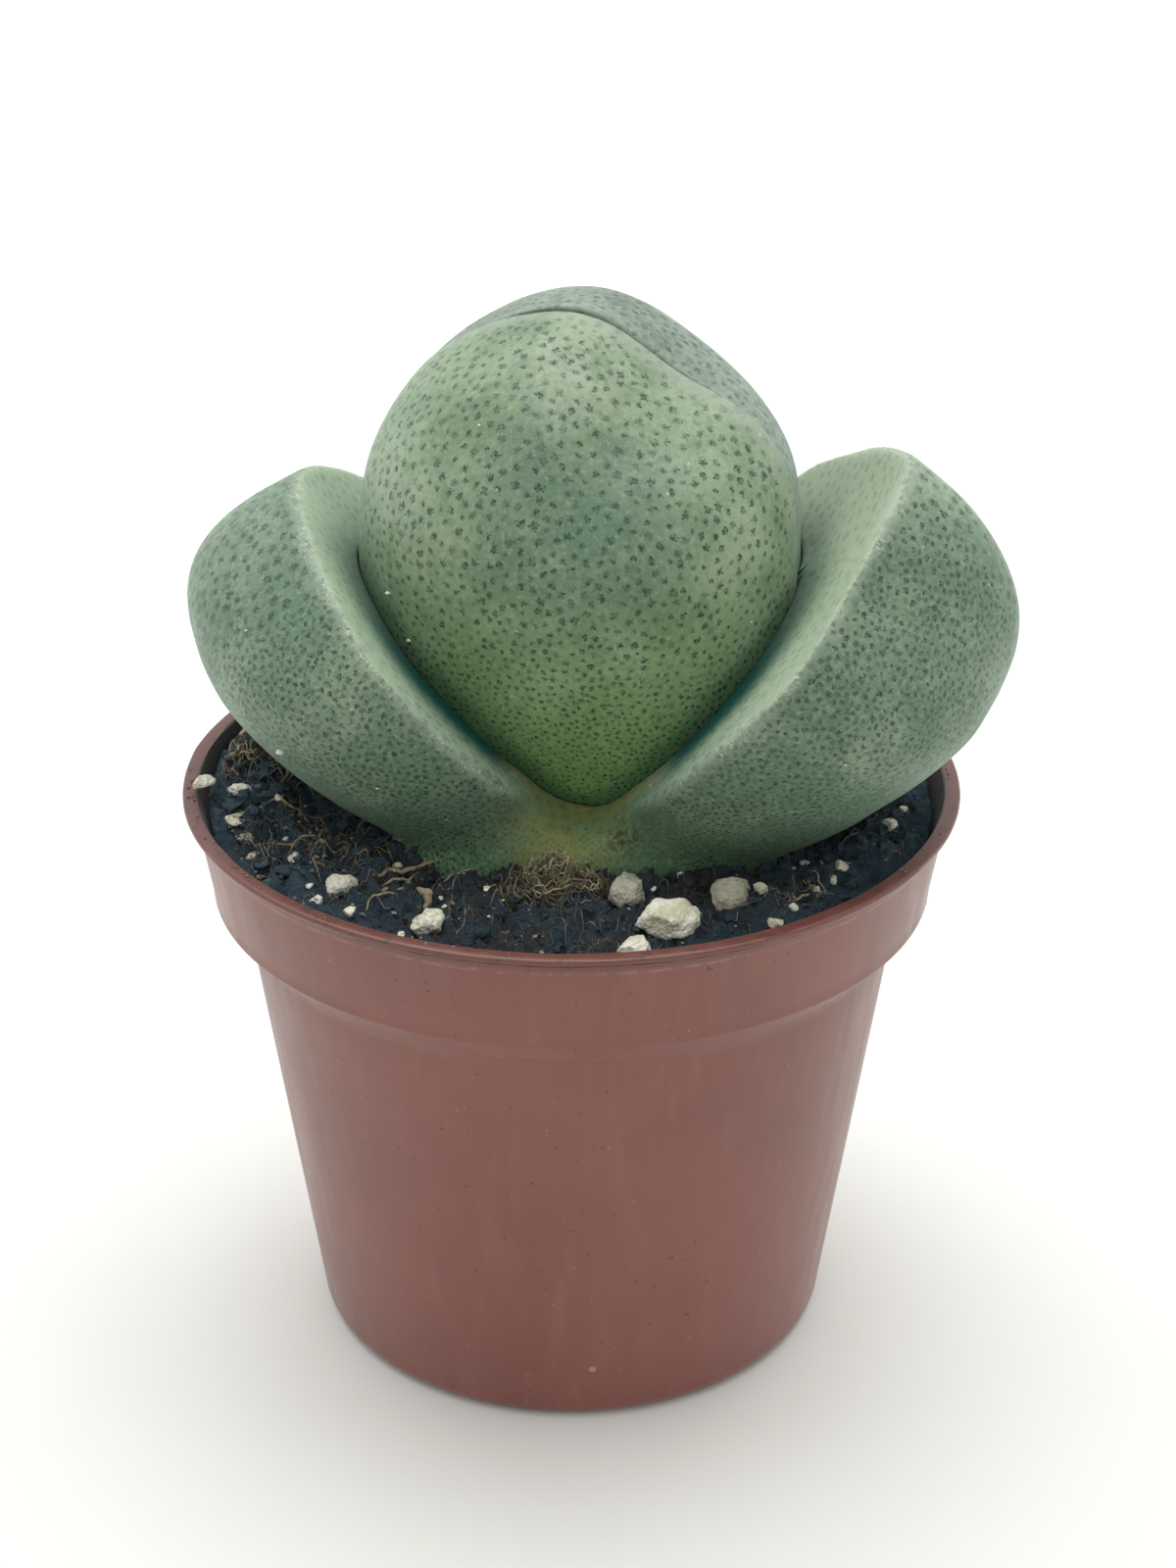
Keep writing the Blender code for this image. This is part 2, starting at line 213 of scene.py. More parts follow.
# Bundles of fibres: count, x, y, spread, length, curl, rise, radius. No spread means all over the soil.
PALE_FIBRES = (
    (280, 0, 0, 0, 2.6, 0.45, 0.25, 0.026),
    (70, -21.5, 2.5, 2.4, 3.4, 0.6, 0.5, 0.06),
    (26, -18.5, 14.0, 3.0, 4.0, 0.5, 0.5, 0.06),
    (18, 15.0, -15.6, 1.6, 2.4, 0.6, 0.4, 0.045),
    (20, -15.5, -11.0, 2.0, 3.0, 0.6, 0.4, 0.05),
    (40, -17.0, -8.0, 4.0, 3.2, 0.22, 0.5, 0.03),
)
DARK_FIBRES = (
    (620, 0, 0, 0, 2.6, 0.5, 0.3, 0.045),
    (120, -1.0, -15.2, 1.5, 1.5, 0.7, 0.3, 0.045),
    (30, -21.5, 2.5, 2.6, 3.4, 0.6, 0.5, 0.09),
    (80, -17.0, -8.0, 4.0, 3.4, 0.25, 0.6, 0.045),
)


# Shapes shared with the solids

def unit(v):
    return v / np.linalg.norm(v)


def signed_power(x, e):
    return np.sign(x) * np.abs(x) ** e


def inner_leaf(side):
    """Axes and measures of a leaf of the upright pair: side 1 is the front one, side -1 the back one."""
    yaw = radians(21.5)
    lean = radians(5.2)
    tilt = radians(2.0)
    across = np.array([cos(yaw), -sin(yaw), 0.0])
    front = np.array([-sin(yaw), -cos(yaw), 0.0])
    up = np.array([0.0, 0.0, 1.0]) * cos(lean) + front * sin(lean)
    outward = front * cos(lean) - np.array([0.0, 0.0, 1.0]) * sin(lean)
    along = up * cos(tilt) + across * sin(tilt)
    across = across * cos(tilt) - up * sin(tilt)
    leaf = dict(along=along, across=across, outward=outward * side,
                centre=np.array([1.1, 1.9, 65.1]) + outward * side * SPLIT / 2,
                tip=11.2, base=27.0, half_width=15.1, narrow=0.15, tip_power=1.8, base_power=2.75,
                thick=15.4, back_power=2.05, back_power_across=2.25, shift=-2.4, sway=0.0, slump=1.9,
                slump_deep=1.0, dish=0.0, edge=INNER_EDGE)
    if side < 0:
        leaf.update(half_width=14.9, thick=13.4, back_power=2.5, shift=-1.0, sway=-2.8, slump_deep=0.2)
    return leaf


def outer_leaf(side):
    """Axes and measures of a leaf of the spread pair: side -1 is the left one, side 1 the right one."""
    left = dict(rise=48.1, turn=-7.6, foot=(3.2, -0.3, 39.25), length=33.4, base_share=0.635,
                half_width=17.7, narrow=0.17, tip_power=1.75, base_power=1.75, thick=13.8,
                back_power=2.6, back_power_across=2.45, shift=3.3, dish=1.4)
    right = dict(rise=50.7, turn=10.5, foot=(-1.6, -0.5, 39.5), length=38.4, base_share=0.70,
                 half_width=15.3, narrow=0.33, tip_power=1.5, base_power=1.5, thick=16.1,
                 back_power=2.16, back_power_across=2.1, shift=0.6, dish=2.0)
    form = left if side < 0 else right
    rise, turn = radians(form["rise"]), radians(form["turn"])
    up = np.array([side * cos(rise), 0.0, sin(rise)])
    front = np.array([0.0, -1.0, 0.0])
    along = up * cos(turn) + front * sin(turn)
    across = front * cos(turn) - up * sin(turn)
    base = form["length"] * form["base_share"]
    return {**form, "along": along, "across": across, "base": base, "tip": form["length"] - base,
            "outward": np.array([side * sin(rise), 0.0, -cos(rise)]),
            "centre": np.array(form["foot"]) + along * base, "sway": 0.0, "slump": 0.0, "slump_deep": 0.0,
            "edge": OUTER_EDGE}


def leaf_outline(leaf, steps):
    """The flat face's softened outline, as lengths along and across the leaf at even steps."""
    turn = np.linspace(0.0, 2.0 * pi, 721)
    power = np.where(np.cos(turn) > 0.0, leaf["tip_power"], leaf["base_power"])
    c = signed_power(np.cos(turn), 2.0 / power)
    s = signed_power(np.sin(turn), 2.0 / power)
    w = leaf["half_width"] * s * (1.0 - leaf["narrow"] * c)
    slump = leaf["slump"] * np.exp(-((w - 6.5) / 4.0) ** 2)
    a = np.where(c > 0.0, leaf["tip"] * c - slump, leaf["base"] * c)
    run = np.concatenate(([0.0], np.cumsum(np.hypot(np.diff(a), np.diff(w)))))
    even = run[-1] * np.arange(OUTLINE_SAMPLES) / OUTLINE_SAMPLES
    points = np.interp(even, run, a) + 1j * np.interp(even, run, w)
    waves = np.fft.fftfreq(OUTLINE_SAMPLES, run[-1] / OUTLINE_SAMPLES) * 2.0 * pi
    soft = np.fft.ifft(np.fft.fft(points) * np.exp(-0.5 * (waves * LEAF_SOFTEN) ** 2))
    soft = np.append(soft, soft[0])
    pick = np.arange(steps) * OUTLINE_SAMPLES / steps
    at = np.arange(OUTLINE_SAMPLES + 1)
    return np.interp(pick, at, soft.real), np.interp(pick, at, soft.imag)


def leaf_rings(leaf, steps, face_rings, edge_rings, back_rings):
    """Rings of points from the middle of the flat face, over its edge, to the middle of the back."""
    a, w = leaf_outline(leaf, steps)
    deep_a, deep_w = leaf_outline({**leaf, "slump": leaf["slump"] * leaf["slump_deep"]}, steps)
    edge = leaf["edge"]
    share = edge / np.hypot(a, w)

    def ring(ra, rw, depth, shift=0.0, sway=0.0, deep=0.0):
        return (leaf["centre"] + np.outer(ra * (a + deep * (deep_a - a)) + shift, leaf["along"])
                + np.outer(rw * (w + deep * (deep_w - w)) + sway, leaf["across"])
                + np.outer(depth * np.ones(steps), leaf["outward"]))

    rings = []
    for k in range(1, face_rings + 1):
        r = k / face_rings
        rings.append(ring(r * (1 - share), r * (1 - share), leaf["dish"] * (1.0 - r * r)))
    for k in range(1, edge_rings + 1):
        t = 0.5 * pi * k / (edge_rings + 1)
        scale = 1 - share * (1 - sin(t))
        rings.append(ring(scale, scale, edge * (1 - cos(t))))
    for k in range(back_rings):
        lift = 0.5 * pi * k / back_rings
        h = sin(lift) ** (2.0 / leaf["back_power"])
        ra = cos(lift) ** (2.0 / leaf["back_power"])
        rw = cos(lift) ** (2.0 / leaf["back_power_across"])
        rings.append(ring(ra, rw, edge + (leaf["thick"] - edge) * h, leaf["shift"] * h,
                          leaf["sway"] * h, min(1.0, 2.5 * h)))
    first = leaf["centre"] + leaf["outward"] * leaf["dish"]
    last = (leaf["centre"] + leaf["along"] * leaf["shift"] + leaf["across"] * leaf["sway"]
            + leaf["outward"] * leaf["thick"])
    return first, rings, last


def ridge_points(leaf):
    """Points along the rounded edge between a leaf's flat face and its back."""
    a, w = leaf_outline(leaf, OUTLINE_SAMPLES)
    share = 0.3 * leaf["edge"] / np.hypot(a, w)
    return (leaf["centre"] + np.outer(a * (1 - share), leaf["along"])
            + np.outer(w * (1 - share), leaf["across"]) + 0.3 * leaf["edge"] * leaf["outward"])


def pot_inner_r(z):
    """Radius of the pot's inside at a height."""
    heights = (POT_FLOOR, POT_BODY_TOP_Z + 0.5, POT_COLLAR_LOW_Z + 0.4, POT_HEIGHT)
    radii = (POT_BASE_R - POT_WALL, POT_BODY_TOP_R - POT_WALL, POT_COLLAR_LOW_R - POT_WALL - 0.1,
             POT_RIM_R - POT_WALL - 0.25)
    return float(np.interp(z, heights, radii))


def ripple(x, y, scale, seed):
    return noise.noise(Vector((x * scale, y * scale, seed)))


def soil_height(x, y):
    """Height of the soil's top, as in the solids."""
    r = hypot(x, y)
    z = SOIL_LEVEL + SOIL_MOUND * exp(-((r - 9.0) / 7.0) ** 2)
    z += 0.9 * exp(-((x + 19.0) ** 2 + (y - 9.0) ** 2) / 90.0)
    z += SOIL_RELIEF * ripple(x, y, 0.36, 3.1)
    z += 0.7 * SOIL_RELIEF * ripple(x, y, 0.9, 7.7)
    return z - 0.5 * max(0.0, (r - 21.0) / 4.0)


# Helpers for meshes and objects

def mesh_from_arrays(name, points, faces):
    mesh = bpy.data.meshes.new(name)
    mesh.from_pydata([tuple(p) for p in points], [], faces)
    mesh.validate()
    mesh.update()
    return mesh


def baked(bm, name):
    """A new mesh from a bmesh, which is freed."""
    mesh = bpy.data.meshes.new(name)
    bm.to_mesh(mesh)
    bm.free()
    return mesh


def placed(name, data):
    """A new object in the scene."""
    obj = bpy.data.objects.new(name, data)
    bpy.context.scene.collection.objects.link(obj)
    return obj


def circle(steps):
    """Cosine and sine of even turns around a circle."""
    turns = [2 * pi * i / steps for i in range(steps)]
    return [(cos(a), sin(a)) for a in turns]


def mesh_from_rings(name, first, rings, last):
    """A mesh in metres from a first point, rings of equal count and a last point, in millimetres."""
    n = len(rings[0])
    points = np.vstack([np.array(first)[None], *[np.array(r) for r in rings], np.array(last)[None]]) * MM
    faces = [(0, 1 + i, 1 + (i + 1) % n) for i in range(n)]
    for k in range(len(rings) - 1):
        low, high = 1 + k * n, 1 + (k + 1) * n
        faces += [(low + i, high + i, high + (i + 1) % n, low + (i + 1) % n) for i in range(n)]
    end, base = len(points) - 1, 1 + (len(rings) - 1) * n
    faces += [(end, base + (i + 1) % n, base + i) for i in range(n)]
    mesh = mesh_from_arrays(name, points, faces)
    bm = bmesh.new()
    bm.from_mesh(mesh)
    bmesh.ops.recalc_face_normals(bm, faces=bm.faces)
    bm.to_mesh(mesh)
    bm.free()
    return mesh


def add_piece(name, mesh, mat, nodes=(), sharp=None):
    """Adds a mesh as a piece of the visual model, smooth but for edges sharper than an angle in degrees."""
    mesh.shade_smooth()
    if sharp:
        mesh.set_sharp_from_angle(angle=radians(sharp))
    mesh.materials.clear()
    mesh.materials.append(mat)
    obj = placed(name, mesh)
    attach(obj, "root")
    if nodes:
        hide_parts(*nodes)
    return obj


def applied(name, mesh, modifiers):
    """The mesh after the modifiers that a function adds to a temporary object."""
    temp = placed(name + "_temp", mesh)
    helpers = modifiers(temp) or []
    graph = bpy.context.evaluated_depsgraph_get()
    made = bpy.data.meshes.new_from_object(temp.evaluated_get(graph))
    made.name = name
    for obj in [temp, *helpers]:
        bpy.data.objects.remove(obj, do_unlink=True)
    return made


def read(items, key, width=1, kind=float):
    """One property of all points, edges, corners or faces of a mesh."""
    values = np.empty(len(items) * width, dtype=kind)
    items.foreach_get(key, values)
    return values.reshape(-1, width) if width > 1 else values


def vertex_array(mesh):
    return read(mesh.vertices, "co", 3)


def normal_array(mesh):
    return read(mesh.vertices, "normal", 3)


def write_vertices(mesh, co):
    mesh.vertices.foreach_set("co", co.astype(np.float32).ravel())
    mesh.update()


def lumps(co, size, seed):
    """Smooth noise from -1 to 1 at points in metres, with lumps of a size in millimetres."""
    k = 1.0 / (size * MM)
    return np.array([noise.noise(Vector((x * k + seed, y * k, z * k))) for x, y, z in co])


def point_tree(points):
    tree = kdtree.KDTree(len(points))
    for i, point in enumerate(points):
        tree.insert(point, i)
    tree.balance()
    return tree


def nearest(points_mm, co, limit):
    """Distance in millimetres from each place in metres to the nearest of the points, up to a limit."""
    tree = point_tree([Vector(p) * MM for p in points_mm])
    return np.minimum([tree.find(c)[2] / MM for c in co], limit)


def add_float(mesh, name, values, domain="POINT"):
    layer = mesh.attributes.new(name, "FLOAT", domain)
    layer.data.foreach_set("value", np.asarray(values, dtype=np.float32))


def add_spots(mesh, facings, gaps, flat_gap, swell, seed, tries=30000):
    """Lays dots on a skin by a seeded rule.

    Points are thrown on the skin and kept where none lies nearer than the gap there. Each face then carries
    its offset from the nearest dot, in dot radii, as a UV map, and that dot's strength. The facings are the
    outward axes of the leaves, whose flat faces have a gap of their own.
    """
    rng = np.random.default_rng(seed)
    faces = mesh.polygons
    n = len(faces)
    centre, normal, area = read(faces, "center", 3), read(faces, "normal", 3), read(faces, "area")
    pick = rng.choice(n, size=min(tries, n), replace=False, p=area / area.sum())
    flat = np.any([normal[pick] @ facing < -0.8 for facing in facings], axis=0)
    gap = np.where(flat, flat_gap, np.interp(centre[pick][:, 2] / MM, *gaps))
    tree = point_tree(centre[pick])
    free = np.ones(len(pick), dtype=bool)
    kept = []
    for i in range(len(pick)):
        if free[i]:
            kept.append(i)
            for _, j, _ in tree.find_range(centre[pick[i]], gap[i] * MM):
                free[j] = False
    spots = centre[pick[kept]]
    size = (DOT_CORE + swell * gap[kept]) * rng.uniform(0.7, 1.15, len(kept)) * MM
    strength = np.clip(rng.normal(0.94, 0.16, len(kept)), 0.4, 1.0)
    tree = point_tree(spots)
    owner = np.fromiter((tree.find(c)[1] for c in centre), dtype=int, count=n)
    helper = np.where(np.abs(normal[:, 2:3]) < 0.9, [[0.0, 0.0, 1.0]], [[1.0, 0.0, 0.0]])
    side = np.cross(normal, helper)
    side /= np.linalg.norm(side, axis=1)[:, None] + 1e-12
    up = np.cross(normal, side)
    face = np.repeat(np.arange(n), read(faces, "loop_total", kind=int))
    offset = vertex_array(mesh)[read(mesh.loops, "vertex_index", kind=int)] - spots[owner[face]]
    uv = np.stack([(offset * side[face]).sum(1), (offset * up[face]).sum(1)], 1) / size[owner[face]][:, None]
    layer = mesh.uv_layers.new(name="spots")
    layer.data.foreach_set("uv", np.clip(uv, -9.0, 9.0).astype(np.float32).ravel())
    add_float(mesh, "spot_strength", strength[owner], "FACE")


# Materials

class Nodes:
    """Short ways to add and join shader nodes. The base colour is laid up tone by tone."""

    def __init__(self, name):
        self.mat = bpy.data.materials.new(name)
        self.mat.use_nodes = True
        self.tree = self.mat.node_tree
        self.shader = self.tree.nodes["Principled BSDF"]
        self.place = self.add("ShaderNodeTexCoord").outputs["Object"]
        self.colour = None

    def add(self, kind, links=None, **values):
        node = self.tree.nodes.new(kind)
        for key, value in values.items():
            setattr(node, key, value)
        for key, value in (links or {}).items():
            self.put(node.inputs[key], value)
        return node

    def put(self, socket, value):
        if isinstance(value, bpy.types.NodeSocket):
            self.tree.links.new(value, socket)
        else:
            socket.default_value = value

    def noise(self, scale, detail=3.0, rough=0.55, vector=None):
        return self.add("ShaderNodeTexNoise", {"Vector": vector or self.place, "Scale": scale,
                                               "Detail": detail, "Roughness": rough}).outputs["Fac"]

    def cells(self, scale, vector=None):
        """Distance to the middle of the nearest of many small cells."""
        return self.add("ShaderNodeTexVoronoi", {"Vector": vector or self.place,
                                                 "Scale": scale}).outputs["Distance"]

    def scaled(self, along_z):
        """The place with its height stretched or squeezed."""
        return self.add("ShaderNodeMapping", {"Vector": self.place,
                                              "Scale": (1.0, 1.0, along_z)}).outputs["Vector"]

    def ramp(self, value, low, high, to_low=0.0, to_high=1.0):
        return self.add("ShaderNodeMapRange", {"Value": value, "From Min": low, "From Max": high,
                                               "To Min": to_low, "To Max": to_high},
                        interpolation_type="SMOOTHSTEP").outputs["Result"]

    def math(self, kind, a, b=0.0):
        node = self.add("ShaderNodeMath", operation=kind)
        self.put(node.inputs[0], a)
        self.put(node.inputs[1], b)
        return node.outputs[0]

    def plus(self, a, b):
        return self.math("ADD", a, b)

    def times(self, first, *others):
        for other in others:
            first = self.math("MULTIPLY", first, other)
        return first

    def rest(self, share):
        """What a share leaves of one."""
        return self.math("SUBTRACT", 1.0, share)

    def mix(self, factor, a, b):
        node = self.add("ShaderNodeMix", data_type="RGBA")
        self.put(node.inputs[0], factor)
        self.put(node.inputs[6], a)
        self.put(node.inputs[7], b)
        return node.outputs[2]

    def lay(self, tone, *shares):
        """Lays a tone over the colour so far by the product of the shares."""
        self.colour = self.mix(self.times(*shares), self.colour, tone)

    def attribute(self, name):
        return self.add("ShaderNodeAttribute", attribute_name=name).outputs["Fac"]

    def axis(self, name):
        return self.add("ShaderNodeSeparateXYZ", {"Vector": self.place}).outputs[name]

    def patch(self, point, far, close):
        """A share that grows from 0 to 1 between two distances from a point, all in millimetres."""
        away = self.add("ShaderNodeVectorMath", {0: self.place, 1: tuple(c * MM for c in point)},
                        operation="DISTANCE").outputs["Value"]
        return self.ramp(away, far * MM, close * MM)

    def bump(self, height, strength, distance):
        return self.add("ShaderNodeBump", {"Height": height, "Strength": strength,
                                           "Distance": distance}).outputs["Normal"]

    def finish(self, roughness, normal=None, **constants):
        self.put(self.shader.inputs["Base Color"], self.colour)
        self.put(self.shader.inputs["Roughness"], roughness)
        if normal is not None:
            self.put(self.shader.inputs["Normal"], normal)
        for key, value in constants.items():
            self.shader.inputs[key.replace("_", " ")].default_value = value
        return self.mat


def rgb(r, g, b):
    return (r, g, b, 1.0)


# Tones that the leaf skins share
WAX_GRAIN = rgb(0.36, 0.43, 0.32)
CONTACT_SHADE = rgb(0.014, 0.078, 0.066)
WORN_EDGE = rgb(0.55, 0.63, 0.44)
# the pale line along leaf edges: partly the wax's bloom, partly painted light
BLOOM_AND_LIT_EDGE = rgb(0.290, 0.345, 0.275)
SALT = rgb(0.55, 0.58, 0.50)
# the flat faces' own paler green; the right one is painted lighter, as if more light fell on it
LEFT_FACE = rgb(0.335, 0.442, 0.288)
RIGHT_FACE_LIT = rgb(0.360, 0.450, 0.298)
OLIVE = rgb(0.205, 0.218, 0.070)
SCAR = rgb(0.045, 0.045, 0.015)


def skin(name, bloom, green, deep, low_z, high_z, base_tone, scuffs, fine_low, rubbed_and_lit=(), shade=(2.2, 0.45),
         outer=False, mottle=0.35, rim=(2.0, 0.5)):
    """Waxy leaf skin: a pale bloom over green, dark dots, worn edges, painted light and shade, and a
    yellower base.

    The rubbed patches are of another tone: place, reach, tone, share; some are wax rubbed off, some painted
    light. Shade is how far the band of painted shade beside another leaf reaches, and its share. Rim is the
    same for the pale line along the leaf's edge, which is partly bloom and partly painted light. On the
    outer pair the yellower base tone is darker and partly painted shade.
    """
    n = Nodes(name)
    fine = n.noise(1500.0, 4.0)
    worn = n.ramp(n.plus(n.noise(190.0), n.times(n.noise(620.0), 0.35)), 0.52, 0.82)
    n.colour = n.mix(worn, bloom, green)
    # patches of another tone: wax rubbed off, and painted light on the flanks of the front leaf and low on
    # the right outer leaf
    for place, reach, tone, share in rubbed_and_lit:
        broken = n.ramp(n.noise(260.0), 0.32, 0.60, 0.25, 1.0)
        n.lay(tone, n.patch(place, reach, 0.25 * reach), broken, share)
    n.lay(n.mix(0.5, n.colour, deep), n.ramp(fine, 0.35, 0.75, 0.0, mottle))
    height = n.axis("Z")
    base = n.ramp(height, low_z * MM, high_z * MM, 1.0, 0.0)
    # a base of another tone low down: the leaf's own yellower base, on the outer pair darker green and
    # partly painted shade
    n.lay(base_tone, base, 0.85)
    grain = n.noise(2900.0, 3.0, 0.65)
    n.lay(WAX_GRAIN, n.ramp(grain, 0.52, 0.70, 0.0, 0.30))
    n.lay(deep, n.ramp(grain, 0.48, 0.30, 0.0, 0.30))
    near = n.attribute("near_inner")
    if outer:
        face = n.times(n.attribute("face"), n.ramp(height, 0.046, 0.058))
        # painted light: the right leaf's flat face is lighter than the left one's, as if more light fell on
        # it from the left
        tone = n.mix(n.ramp(n.axis("X"), -0.010, 0.010), LEFT_FACE, RIGHT_FACE_LIT)
        n.lay(tone, face, 0.85)
        band = n.times(n.patch((0.8, -11.6, 44.2), 9.0, 4.5), n.ramp(near, 2.4, 1.1))
        cloudy = n.ramp(n.noise(420.0), 0.25, 0.6, 0.4, 1.0)
        middle = n.times(n.patch((-0.4, -12.6, 43.4), 5.8, 1.5), cloudy)
        n.lay(OLIVE, n.math("MAXIMUM", band, middle), 0.85)
        scar = n.times(n.patch((3.3, -12.7, 43.4), 2.0, 0.4), n.ramp(n.noise(2500.0), 0.46, 0.56))
        n.lay(SCAR, scar, 0.8)
        bare = n.patch((1.0, -12.5, 42.8), 10.0, 4.0)
    # dots: loose groups of specks with ragged edges
    uv = n.add("ShaderNodeUVMap", uv_map="spots").outputs["UV"]
    away = n.add("ShaderNodeVectorMath", {0: uv}, operation="LENGTH").outputs["Value"]
    away = n.plus(away, n.times(n.math("SUBTRACT", n.noise(5200.0, 2.0), 0.5), 3.6))
    specks = n.ramp(n.cells(4300.0), 0.66, 0.32, 0.5, 1.0)
    dot = n.times(n.ramp(away, 1.25, 0.85), n.attribute("spot_strength"), specks)
    if outer:
        dot = n.times(dot, n.ramp(n.plus(face, bare), 0.0, 1.4, 1.0, 0.25))
    n.lay(deep, dot)
    # the finest dots, too small to lay one by one, mostly near the base
    pores = n.ramp(n.cells(2300.0, n.scaled(1.5)), 0.42, 0.2)
    low = base
    if outer:
        low = n.times(n.rest(face), n.ramp(bare, 0.0, 1.0, 1.0, 0.2),
                      n.ramp(height, 0.070, 0.050, 0.45, 1.0))
    n.lay(deep, pores, low, fine_low)
    # painted shade: a dark band beside another leaf; then worn, pale, slightly warty edges
    ridge = n.attribute("ridge")
    crust = n.times(n.ramp(n.noise(4800.0), 0.53, 0.62), n.ramp(n.noise(420.0, 2.0), 0.40, 0.62))
    rub = n.times(n.ramp(ridge, 0.9, 0.1), crust, n.ramp(height, 0.0455, 0.051))
    painted_crease_shade = n.times(n.ramp(near, shade[0], 0.25 * shade[0]), n.ramp(height, 0.065, 0.053, 0.15, 1.0))
    if outer:
        ahead = n.ramp(n.axis("Y"), 0.008, -0.002, 0.3, 1.0)
        painted_crease_shade = n.times(painted_crease_shade, ahead, n.rest(n.ramp(bare, 0.0, 0.6)))
    n.lay(CONTACT_SHADE, painted_crease_shade, shade[1])
    n.lay(WORN_EDGE, rub, scuffs)
    # a pale line along the leaf's edge, partly the wax's bloom and partly painted light
    n.lay(BLOOM_AND_LIT_EDGE, n.ramp(ridge, rim[0], 0.2), n.ramp(height, 0.044, 0.052), rim[1])
    # rare white flecks of dried salt
    n.lay(SALT, n.ramp(n.noise(900.0, 2.0), 0.735, 0.76), 0.5)
    relief = n.plus(n.times(fine, 0.5), n.times(dot, -0.35))
    relief = n.plus(relief, n.times(rub, 0.9 * scuffs))
    # sheen and specular are cut where the painted shade lies beside other leaves, and low down
    open_skin = n.times(n.rest(n.times(painted_crease_shade, 0.95)), n.ramp(height, 0.041, 0.052, 0.3, 1.0))
    n.put(n.shader.inputs["Sheen Weight"], n.times(open_skin, 0.26))
    n.put(n.shader.inputs["Specular IOR Level"], n.times(open_skin, 0.45))
    return n.finish(n.ramp(fine, 0.3, 0.8, 0.46, 0.62), n.bump(relief, 0.35, 0.00012),
                    Sheen_Roughness=0.5, Sheen_Tint=rgb(0.80, 1.0, 0.84), Subsurface_Weight=0.15,
                    Subsurface_Radius=(0.6, 1.0, 0.5), Subsurface_Scale=0.0012)


def front_skin():
    # dark wax rubbed off in front, a paler top, and pale patches on the right and left flanks that are
    # painted light
    patches = (((1.0, -13.0, 67.5), 11.0, rgb(0.085, 0.160, 0.098), 0.8),
               ((15.0, -5.0, 60.0), 14.0, rgb(0.385, 0.485, 0.325), 0.9),
               ((1.0, -6.0, 76.0), 7.0, rgb(0.345, 0.400, 0.285), 0.6),
               ((-14.0, -5.0, 66.0), 9.0, rgb(0.310, 0.400, 0.275), 0.65))
    return skin("skin_front", rgb(0.226, 0.309, 0.184), rgb(0.132, 0.217, 0.111), rgb(0.010, 0.043, 0.022),
                42.5, 63.5, rgb(0.190, 0.372, 0.092), 0.15, 0.5, patches, rim=(2.2, 0.6))


def back_skin():
    return skin("skin_back", rgb(0.205, 0.258, 0.205), rgb(0.120, 0.170, 0.132), rgb(0.018, 0.036, 0.026),
                42.5, 64.5, rgb(0.115, 0.190, 0.070), 0.15, 0.55, mottle=0.7, rim=(1.0, 0.25))


def outer_skin():
    # patches of other tones; the last, low on the right leaf beside the inner one, is painted light that
    # lifts the shade there
    patches = (((24.0, -14.0, 54.0), 9.0, rgb(0.085, 0.160, 0.096), 0.7),
               ((16.0, -17.0, 47.0), 8.0, rgb(0.068, 0.144, 0.080), 0.7),
               ((22.0, -7.0, 67.0), 9.0, rgb(0.275, 0.365, 0.250), 0.65),
               ((-21.0, -9.0, 61.0), 8.0, rgb(0.105, 0.182, 0.120), 0.55),
               ((9.6, -13.5, 45.3), 5.0, rgb(0.190, 0.320, 0.175), 0.8))
    # its darker green base tone low down is partly painted shade
    return skin("skin_outer", rgb(0.188, 0.268, 0.172), rgb(0.104, 0.182, 0.112), rgb(0.013, 0.038, 0.020),
                40.5, 49.0, rgb(0.076, 0.160, 0.078), 0.9, 0.42, patches, (4.2, 1.0), True, rim=(1.1, 0.35))


